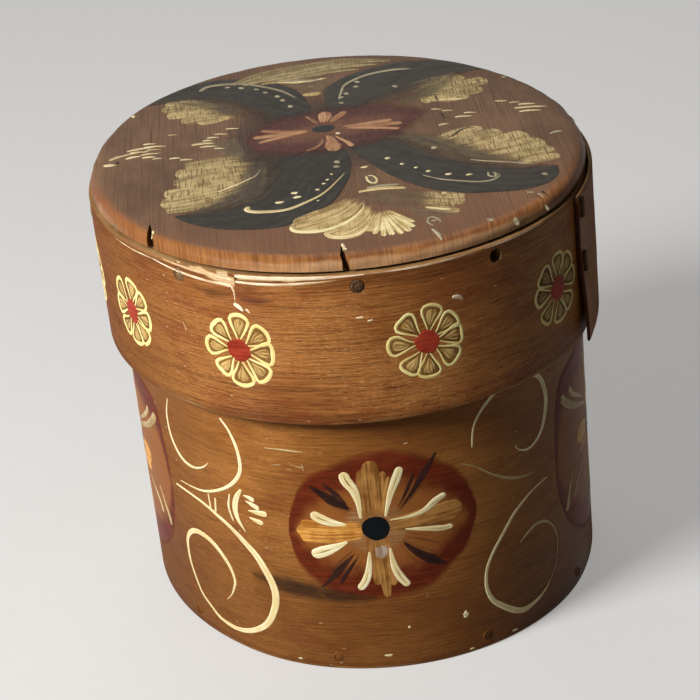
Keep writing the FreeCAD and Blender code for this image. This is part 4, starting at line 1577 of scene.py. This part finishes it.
# %% Rosettes
glaze = Pot("rosette_glaze", on_lid, petal_glaze, UNDER)
gilt = Pot("rosette_gold", on_lid, petal_gold, LEAF)
loops = Pot("rosette_loops", on_lid, rosette_cream, OVER)
hearts = Pot("rosette_hearts", on_lid, heart_red, LINE)
ROSETTES = spots_in("""
    -195,154 -141,154 -75,153.4 2.3,153.6 70.4,154.2 140,154 205,153 275,154 345,153.5 415,154
    """)
PETAL_TURNS = (82, 40, 0, -42, -88, -132, 180, 135)
PETAL_SIDE, PETAL_TIP = spots_in("4.7,0.5 8,2.1 11.1,3.8 13.6,4.3 15,2.6"), 15.3
LOOP_WIDTHS = np.array((0.9, 1.3, 1.7, 2.0, 2.3, 2.0, 1.7, 1.2, 0.8))


def petal_points(shape, centre, turn):
    """Points of a petal, from its root to its tip and to its side, on the wall."""
    x, z = centre
    c, s = math.cos(math.radians(turn)), math.sin(math.radians(turn))
    return [(x + out * c - side * s, z + out * s + side * c) for out, side in shape]


random = np.random.default_rng(2)
for centre in ROSETTES:
    in_shade = -20 < centre[0] < 300          # the outlines are thinner there
    heavy = random.uniform(0.72, 0.86) if in_shade else 0.95
    for turn in PETAL_TURNS:
        turn += random.uniform(-5, 5)
        long, wide = random.uniform(0.94, 1.05), random.uniform(0.86, 1.14)
        side = PETAL_SIDE + [(PETAL_TIP + random.uniform(-0.4, 0.4), 0.0)]
        up = [(r * long, w * wide) for r, w in side]
        down = [(r * long, -w * wide * random.uniform(0.9, 1.08)) for r, w in side]
        glaze.patch(*(petal_points(half, centre, turn) for half in (up, down)), step=1.4)
        fill = [[(3.6 + r * 0.66, w * 0.58) for r, w in half] for half in (up, down)]
        gilt.patch(*(petal_points(half, centre, turn) for half in fill), step=1.2)
        loops.stroke(petal_points(up + down[-2::-1], centre, turn), LOOP_WIDTHS * heavy)
        bend = random.uniform(-0.5, 0.5)
        for hair in ([(7.4, 0.2), (9.8, 1.2 + bend), (12.4, 1.8)],
                     [(8.4, -0.4), (10.6, -1.2 + bend), (12.6, -1.6)],
                     [(9.4, 0.3), (12.8, 0.2 + bend)]):
            loops.stroke(petal_points(hair, centre, turn), (0.3, 0.55, 0.4), step=0.5)
    hearts.dab(centre, (10.4, 10.6), ragged=0.12)

# %% [markdown]
# The rim has been knocked about: bare fibres show along it, and bruises below it. The long pale lines
# along its top edge are partly those fibres and partly a painted highlight, where the varnished edge
# catches the light.

# %% Rim scuffs and painted highlight
fibres_and_highlight = Pot("rim_fibres_and_painted_highlight", on_lid, fibre_and_highlight_paint, OVER)
bruise = Pot("lid_bruises", on_lid, wall_bruise, LEAF)
# the long lines at the top edge are partly bare fibres and partly a painted highlight
fibres_and_highlight.brush("""
    -110,186.4 -98,185.8 -86,185 -74,184 | 0.6 1.2 1.4 1
    -117,184.8 -104,183.4 -92,182.4 -82,181.8 -74.6,181.4 | 0.5 1 1.4 1.2 1.5
    -74.4,181.6 -73.6,178.6 -73.8,175 | 1.4 1 0.5
    -72.6,186 -56,186 -38,186.2 -20,186.4 | 1.4 1.8 1.5 0.6
    -72.6,183.6 -58,183.4 -44,184 -30,185 | 1.2 1.4 1.3 0.4
    -16,186.3 4,186.2 24,186.3 | 0.4 1.3 0.4
    30,186.3 46,186.3 64,186.4 | 0.4 1.1 0.4
    -148,185.2 -134,184.9 -120,184.9 -112,185.2 | 0.3 0.8 0.8 0.3
    -74.6,174 -72.2,172.6 -70.6,171 | 1.8 2.2 1.2
    -69.4,172.2 -67.6,170.4 | 1.6 1
    14,170.2 17,169.6 18.6,168 | 1.6 2.2 1
    -25,168.4 -22,168.6 | 0.8 1
    -20.6,166.6 -18.4,166.8 | 0.8 1.2
    -103,160.6 -101.6,157 | 0.6 0.9
    """)
bruise.brush("""
    -94,178 -84,177.2 -75,177.6 | 3 6 4
    -72,176.4 -64,176 -54,177 | 4 6 2
    -72,172 -67,170 -61,169.4 | 2 3.4 1
    -74,185 -82,185.8 -92,186.4 | 1.4 1.2 0.5
    -72,184.8 -56,184.7 -42,185.2 | 0.8 0.8 0.4
    12.6,173.4 15.6,172 19,171.4 | 1 2.6 1
    -128,165 -124.4,161 -122,157 | 1 3.4 1.2
    -150,186.5 -132,186.1 -112,186.2 | 0.5 1.5 0.5
    -34,123.6 0,123.4 36,123.6 58,123.4 | 0.5 1.3 1.3 0.4
    """, crown=0, step=1)
for pot in (glaze, gilt, loops, hearts, bruise, fibres_and_highlight):
    pot.dry("lid", "painted_wall")

# %% [markdown]
# ## Flowers on the box
#
# The large flower is painted on a dark red round. Four broad orange petals, pulled with a
# brush that left furrows, make a cross. Pairs of cream touches flank each of them, dark
# leaves fill the corners, and a black round sits in the middle. The points are set from that
# middle, so that the same flower can be painted again on the far side.

# %% Large flower
red = Pot("box_red_rounds", on_box, wall_glow, UNDER)
dark = Pot("box_dark_leaves", on_box, wall_dark, LEAF)
haze = Pot("box_pale_haze", on_box, wall_haze, HAZE)
orange = Pot("box_orange_petals", on_box, wall_orange, OVER)
amber = Pot("box_amber_petals", on_box, wall_amber, OVER)
dim = Pot("box_dim_lines", on_box, wall_dim, LINE)
light = Pot("box_cream_strokes", on_box, wall_cream, LINE)
groove = Pot("box_petal_grooves", on_box, wall_groove, GROOVE)
eye = Pot("box_black_middles", on_box, ink, LINE)
chalk = Pot("box_grey_dabs", on_box, wall_dab, CHALK)


def at(along, height=0.0, flip=1):
    """Moves points of an ornament to its place on the wall, mirrored where flip is -1."""
    return lambda x, z: (along + flip * x, height + z)


def large_flower(centre):
    put = at(*centre)
    red.patches("""
        -38,-2.6 -35.7,9.4 -27.7,25 -10.7,34.4 4.7,37.4 14.7,35.4 26.3,30.4 37.8,20.4 43.9,5.4 \
            43.6,-3 | -38,-3 -35.3,-18 -27.7,-27.6 -15.7,-35 3.3,-35.6 18.3,-33.6 29.3,-25.6 \
            37.8,-17.6 43.6,-3.4
        """, put, step=2.2)
    dark.brush("""
        -26,20.4 -17.7,14.4 -8.4,8.4 | 1.6 5.6 1.2
        -20.4,22 -16,17.6 -10,10.4 | 1.4 3.4 1
        -21,16 -17,11.5 -10,8 | 0.8 2 0.6
        28,31 25,27 16.5,15 9.3,6.4 | 1.4 3.8 2.6 0.8
        17.6,23.4 14,15.6 9.6,8 | 2 2.2 0.6
        22,19 16,12.6 10,6.6 | 1 2 0.6
        26,-11.6 18,-8 10.3,-5 | 1 1.9 0.6
        28.6,-22.4 21.3,-18 14.7,-12.6 9.6,-6.4 | 1.6 5.4 3.6 1
        -26,-29 -21,-24 -9,-10.6 | 1.2 4.2 0.8
        -17.4,-26.4 -12.6,-19 -7.6,-12 | 2.2 2.4 0.6
        -21,-20.6 -15,-14.6 -9.6,-9 | 1.4 2 0.4
        23.6,-15.4 16,-11 10,-6 | 1 2 0.5
        """, put)
    dark.brush("""
        -9,7 -15,9
        -9,9 -15.6,15.4
        8.4,7 13,14 17.6,20.4
        11,-3.6 19,-6 24,-8
        9,-8 13,-15 17,-20
        -7,-14.4 -11.6,-22
        -10.6,-10.4 -16,-15 -21,-21
        """, put, widths="0.5 1.1 0.4")
    haze.dab(centre, (30, 28), crown=0, step=1.6)
    chalk.dab((centre[0] + 1.3, centre[1] - 11.4), (6.4, 7.4), turn=90, ragged=0.15)
    for line, widths in strokes_in("""
        -3.6,28 -3.4,18 -2.6,5 | 5 6 5
        5,26.4 4,17 2.2,5 | 3 4.8 5
        0.2,31.8 0,22 0,5 | 7.4 8.2 6.4
        7.4,23.6 5.4,15 3.6,6 | 2 3.2 2.4
        -32,2 -20,1.4 -5,1.4 | 5 5.6 4.6
        -32.4,-4.4 -20,-4 -5,-2.4 | 5.4 6 4.6
        -34,-1.2 -20,-1.4 -5,-0.6 | 6 8 7
        33,5.6 22,4 6,2 | 4.4 5.4 4
        34.4,-0.4 23,-0.4 6,-1 | 5 6 5
        37.4,3.4 24,2.6 6,0.8 | 8.4 8.4 6.4
        -1.4,-27.6 -1.2,-18 -1.4,-5 | 4 5.4 5
        5.2,-28.4 4.4,-18 2.4,-5 | 4 5.4 5
        2,-34 1.8,-24 0.6,-5 | 3.2 6.4 6.4
        """, put):
        is_left_tip = line[0][0] < centre[0] - 30
        (orange if is_left_tip else amber).stroke(line, widths, crown=0, step=0.8)
    for line, widths in strokes_in("""
        -11.2,27.2 -10.4,23.4 -7.6,18.6 -6.2,13 -5.8,5 | 4.8 5 3.8 2.4 1.3
        12.4,27.4 10.4,22.6 7.8,16.6 5.8,10.6 4.4,5 | 3.6 4.2 3.4 2.2 1.2
        -26.6,7.6 -23.5,5.4 -18.6,3.4 -12,2.2 | 4.6 5 3.4 1
        -28.4,-12.8 -23.4,-11 -18,-8.8 -12.4,-6 | 4.8 5.6 3.8 1.2
        30.4,10.8 26,8.8 21,5.4 15,3.8 6,3.2 | 2.8 3.4 2.2 1.4 0.8
        32.4,-5 28,-5 22,-3.8 12,-2 | 2.4 3 2.2 0.9
        -9.6,-29.4 -6.6,-25.4 -4.8,-20 -3.6,-11 | 3.6 3.8 2.6 1.2
        11.4,-29.4 8.4,-25 6,-19 5,-10 | 3.6 4 2.8 1.2
        """, put):
        light.stroke(line, widths, crown=0.07, step=0.5)
        start = tuple(a * 0.62 + b * 0.38 for a, b in zip(*line[:2]))
        groove.stroke([start, line[1], line[2]], (0.5, widths[1] * 0.24, 0.3), crown=0, step=0.5)
    eye.dab(centre, (11.8, 11.8), ragged=0.05)


large_flower((-24.3, 69.6))
large_flower((322.0, 67.0))

# %% [markdown]
# On each side there is a round bud, dark red too, with a fan of cream strokes that reach in
# from its edge. Only part of each can be seen from the front, so the rest is made up to match.

# %% Side buds
def side_bud(centre, flip):
    put = at(*centre, flip)
    red.patches("""
        -50,0 -44,24 -28,42 0,50 26,48 44,42 50,22 51,2 | -50,-0.4 -44,-22 -28,-42 0,-50 24,-44 \
            42,-30 50,-12 51,1.6
        """, put, step=2.4)
    dim.brush("""
        43,33 38,28 28,21.5 11,14 0,8 | 4.6 4 3 2 1
        34,33 28,27 11,17 | 3 2.4 1
        43,-23 40,-16 36,-9 33.5,-7 | 4 3 2 1
        33.5,-21 30,-16 18,-9 | 3 2.4 1
        -40,30 -33,24 -20,17 -6,10 | 4.4 3.8 2.6 1
        -42,-24 -34,-18 -22,-12 -8,-7 | 4.4 3.6 2.4 1
        4,42 3,30 2,14 | 4.6 3.6 1.2
        -8,40 -5,28 -2,14 | 3.6 3 1
        4,-42 3,-30 2,-14 | 4.4 3.4 1.2
        -8,-40 -5,-28 -2,-14 | 3.6 3 1
        """, put, crown=0.07)
    orange.brush("""
        26,4 16,3 5,0 | 9 10 6
        -34,2 -20,2 -5,0 | 6 9 6
        22,-3 14,-4 5,-2 | 5 6 4
        0,30 0,18 0,5 | 5 8 6
        0,-30 0,-18 0,-5 | 5 8 6
        """, put, crown=0.01, step=0.9)
    eye.dab(centre, (11, 11), ragged=0.06)


side_bud((-186.0, 65.0), 1)
side_bud((118.0, 65.0), -1)

# %% [markdown]
# ## Scrolls
#
# Long cream scrolls fill the spaces between the flowers: an S below, a C above it, two short
# bars where they touch, and a little fan. Each is one pull of the brush that swells where
# the hand pressed. The pair beside the front flower is painted again on the far side.

# %% Scrolls
for left, right in ((0, 0), (351, 346)):
    light.brush("""
        -90,115.3 -86,110.7 -83,104 -82,98 -82.5,92 -86,86.5 -92,81.5 -100,77.3 -108,74.6 -117,73.6 \
            -125,73.2 | 1.2 1.8 2 2 1.6 1.4 1 0.6
        -126,113 -128,108 -129,104 -129,98 -127.5,93 -124,88 -119,85 -113,84.4 -107.5,86 -104,88 \
            -101,90.7 | 0.8 1.4 1.8 2 1.8 1.2 0.6
        -130,69.4 -121,69.4 -112,68.6 -105,67 -100,65 -93,62 -86,57 -80,51.5 -76,45 -73,38 -72.5,32 \
            -74,26 -77.5,19 -82.5,14 -90,10 -97.5,8.2 -105,8.6 -110,9.8 -115,13 -121,17 -125,24 \
            -127.5,31 -128,37 -127,43 -123,48 -117,50.7 -110,50.5 -104,48 -99,43.5 -96,39 -94.6,34 \
            -96,30 -98,26 -101.7,22 | 1.2 1.4 1.6 2 2.4 3.4 4 4 3.6 3.2 2.8 2.4 2 1.7 1.6 1.8 2.2 2.6 \
            2.8 2.8 2.2 1.4 0.5
        -104.4,74.6 -104,67 | 1.2 1.4
        -100,74 -101,66.4 | 1.2 1.4
        -90.4,79 -92,72 -90.4,65.7 | 0.9 1.5 0.9
        -83.3,83 -86.7,78 -88.3,72 -87,66.5 -83.8,62 | 1.4 3 3.4 2.2 0.5
        -77,78.8 -79.4,79.8 -82.4,80.4 | 2.6 2.2 0.8
        -75,75.4 -78,76.6 -81.8,78 | 2.8 2.4 0.8
        -71.3,73.6 -76,73.4 -80.8,73.5 | 3 2.6 0.8
        -73.8,68.6 -77,69.2 -80.8,70 | 2.8 2.4 0.8
        """, at(left), crown=0.07, step=0.5)
    light.brush("""
        19.5,98 20.5,105.5 23,111 28,116 34,119.5 43,121 52,119 58,116 61,111 62.5,104 61,97 58,91 \
            53,87 48,86 43,88 41,91 | 0.8 1.2 1.8 2 2 2.2 2.8 2.8 2.2 1.4 0.6
        60,67 54,66.5 48,65 42,62 37,58.5 31,52 26,46 22.5,40 21.2,34 21.5,28 24,22 29,17 34,13 \
            39,10.5 44,10.5 50,12 55,14.5 57.5,17 | 0.8 1.2 1.6 1.8 1.8 1.7 1.7 2.2 2.8 3.2 2.8 1.8 \
            0.9
        """, at(right), crown=0.07, step=0.5)
    dim.brush("""
        14,92 20,89 28,82.5 37,77 46,74.4 52,74 | 0.5 1.1 1.5 1.5 0.8
        40,44 45,46.8 50,48.4 55.6,47.4 61,43 64,37 64.4,30 62,22 57.6,17 | 0.6 1.6 1.8 1.6 1.2 1 0.9 \
            0.9 0.8
        """, at(right))
light.dots("""
    10.5,20,2.4,3.4 -14.6,19.6,1.2,1.6 -24.6,6.6,3.4,1.4 34,2.6,3,1.6 12,2,2.4,1.2 40.6,9.6,1.4,1
    -64,3,2,1
    """, ragged=0.3)
dim.brush("-68.4,106 -60,106 -51,105.8 | 0.5 1.3 0.5")
dim.brush("""
    -66,98.4 -61,98.9
    -60,97.4 -56.4,97
    -56,99 -52,98.4
    -52.4,100.4 -51.6,96
    """, widths="0.5 0.9 0.3")
amber.brush("-112,1.1 -84,0.9 -56,1 -28,0.9 -6,1 | 0.3 0.9 1.1 0.9 0.3", crown=0)
smear = Pot("box_smear", on_box, wall_smear, LEAF)
smear.brush("""
    -26,35.4 -42,36.4 -58,38.8 -84,41.4 | 5 11 13 6
    -30,37 -50,40.4 -78,43 | 2.4 4 2
    """, crown=0, step=1)
for pot in (red, haze, dark, orange, amber, chalk, light, groove, dim, eye, smear):
    pot.dry("box", "painted_wall")

# %% [markdown]
# ## Stage, light and camera
#
# A plain pale floor, one soft light from the left, and a weak one from behind, with a
# little even light all round, so that no side is black. The floor and the room look pale
# to the camera and in reflections only, so they add no light of their own.

# %% Stage
floor = new("circle", "floor", vertices=96, radius=7.0, fill_type="NGON")
f = Finish("floor_pale")
speckle = f.noise(f.place(), 90)
camera_ray, glossy_ray, clear_ray = (f.node("ShaderNodeLightPath", out=i) for i in (0, 3, 6))
seen = camera_ray.most(glossy_ray).most(clear_ray)
f.feed(colour=f.mix(seen, "#8A8886", f.mix(speckle, "#DDDBD8", "#E2E0DD")),
       roughness=0.85 + speckle * 0.1)
glimmer = f.node("ShaderNodeEmission", {}, {"Color": paint_chip("#E4E2DF"), "Strength": 0.9})
surface = f.node("ShaderNodeMixShader", {},
                 {0: seen * 0.45, 1: Wire(f, f.shader.outputs[0]), 2: glimmer})
f.tree.links.new(surface.socket, f.tree.nodes["Material Output"].inputs["Surface"])
wear_finishes(floor, f.material)


def direction(azimuth, elevation):
    """Which way is out, with the azimuth turned from the front to the right, in radians."""
    return Vector((math.sin(azimuth) * math.cos(elevation),
                   -math.cos(azimuth) * math.cos(elevation), math.sin(elevation)))


def aim(thing, place, target, roll=0.0):
    thing.location = place
    look = (Vector(target) - Vector(place)).to_track_quat("-Z", "Y")
    thing.rotation_mode = "QUATERNION"
    thing.rotation_quaternion = look @ Matrix.Rotation(roll, 4, "Z").to_quaternion()


def softbox(name, azimuth, elevation, distance, size, watts):
    lay_down_tools()
    bpy.ops.object.light_add(type="AREA")
    lamp = bpy.context.active_object
    lamp.name = name
    lamp.data.shape, lamp.data.size, lamp.data.energy = "DISK", size, watts
    middle = Vector((0, 0, 0.1))
    place = direction(math.radians(azimuth), math.radians(elevation)) * distance
    aim(lamp, place + middle, middle)


softbox("key", azimuth=-67, elevation=37, distance=1.7, size=0.65, watts=41.5)
softbox("back", azimuth=174, elevation=46, distance=2.0, size=1.2, watts=7)

world = bpy.data.worlds.new("room")
bpy.context.scene.world = world
world.use_nodes = True
nodes, links = world.node_tree.nodes, world.node_tree.links
room, pale = nodes["Background"], nodes.new("ShaderNodeBackground")
for background, colour, strength in ((room, "#EFEDEA", 0.036), (pale, "#CBC9C5", 1.0)):
    background.inputs["Color"].default_value = paint_chip(colour)
    background.inputs["Strength"].default_value = strength
path, choose = nodes.new("ShaderNodeLightPath"), nodes.new("ShaderNodeMixShader")
share = path.outputs["Is Camera Ray"]
for ray in ("Is Glossy Ray", "Is Transmission Ray"):
    either = nodes.new("ShaderNodeMath")
    either.operation = "MAXIMUM"
    links.new(share, either.inputs[0])
    links.new(path.outputs[ray], either.inputs[1])
    share = either.outputs[0]
links.new(share, choose.inputs[0])
links.new(room.outputs[0], choose.inputs[1])
links.new(pale.outputs[0], choose.inputs[2])
links.new(choose.outputs[0], nodes["World Output"].inputs["Surface"])

# %% [markdown]
# The camera stands almost a metre away with a long lens, turned 12 degrees to the left of
# the front and looking down at 26 degrees.

# %% Camera
CAMERA_DISTANCE, CAMERA_UP, CAMERA_LEFT, CAMERA_ROLL = 929.38, 0.4533, -0.2093, -0.1066
FOCUS, FRAME_WIDTH, SENSOR = 2033.67, 700, 36.0
target = Vector((-2.44, 1.0, 94.9)) * MM
camera = bpy.data.objects.new("camera", bpy.data.cameras.new("camera"))
bpy.context.scene.collection.objects.link(camera)
camera.data.sensor_width, camera.data.lens = SENSOR, FOCUS * SENSOR / FRAME_WIDTH
aim(camera, target + direction(CAMERA_LEFT, CAMERA_UP) * CAMERA_DISTANCE * MM, target, CAMERA_ROLL)
bpy.context.scene.camera = camera
bpy.context.scene.view_settings.view_transform = "Standard"

# %% [markdown]
# ## Riding on the frame
#
# Every piece moves with the box or the lid that it belongs to, and stands for its part of
# the frame, which is hidden. The paint was attached to the box or the lid when it dried.

# %% Riding
for piece, body, node, slot in (
        (body_wall, "box", "body_band", "painted_wall"), (lid_wall, "lid", "lid_band", "painted_wall"),
        (lid_plank, "lid", "lid_board", "painted_board"),
        (base_plank, "box", "bottom_board", "bare_board"),
        (lid_peg_set, "lid", "lid_pegs", "peg"), (base_peg_set, "box", "bottom_pegs", "peg"),
        (roots["lid_outer"], "lid", "lid_lacing_outer_end", "root"),
        (roots["lid_inner"], "lid", "lid_lacing_inner_end", "root"),
        (roots["body_outer"], "box", "body_lacing_outer_end", "root"),
        (roots["body_inner"], "box", "body_lacing_inner_end", "root")):
    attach(piece, body)
    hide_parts(node)
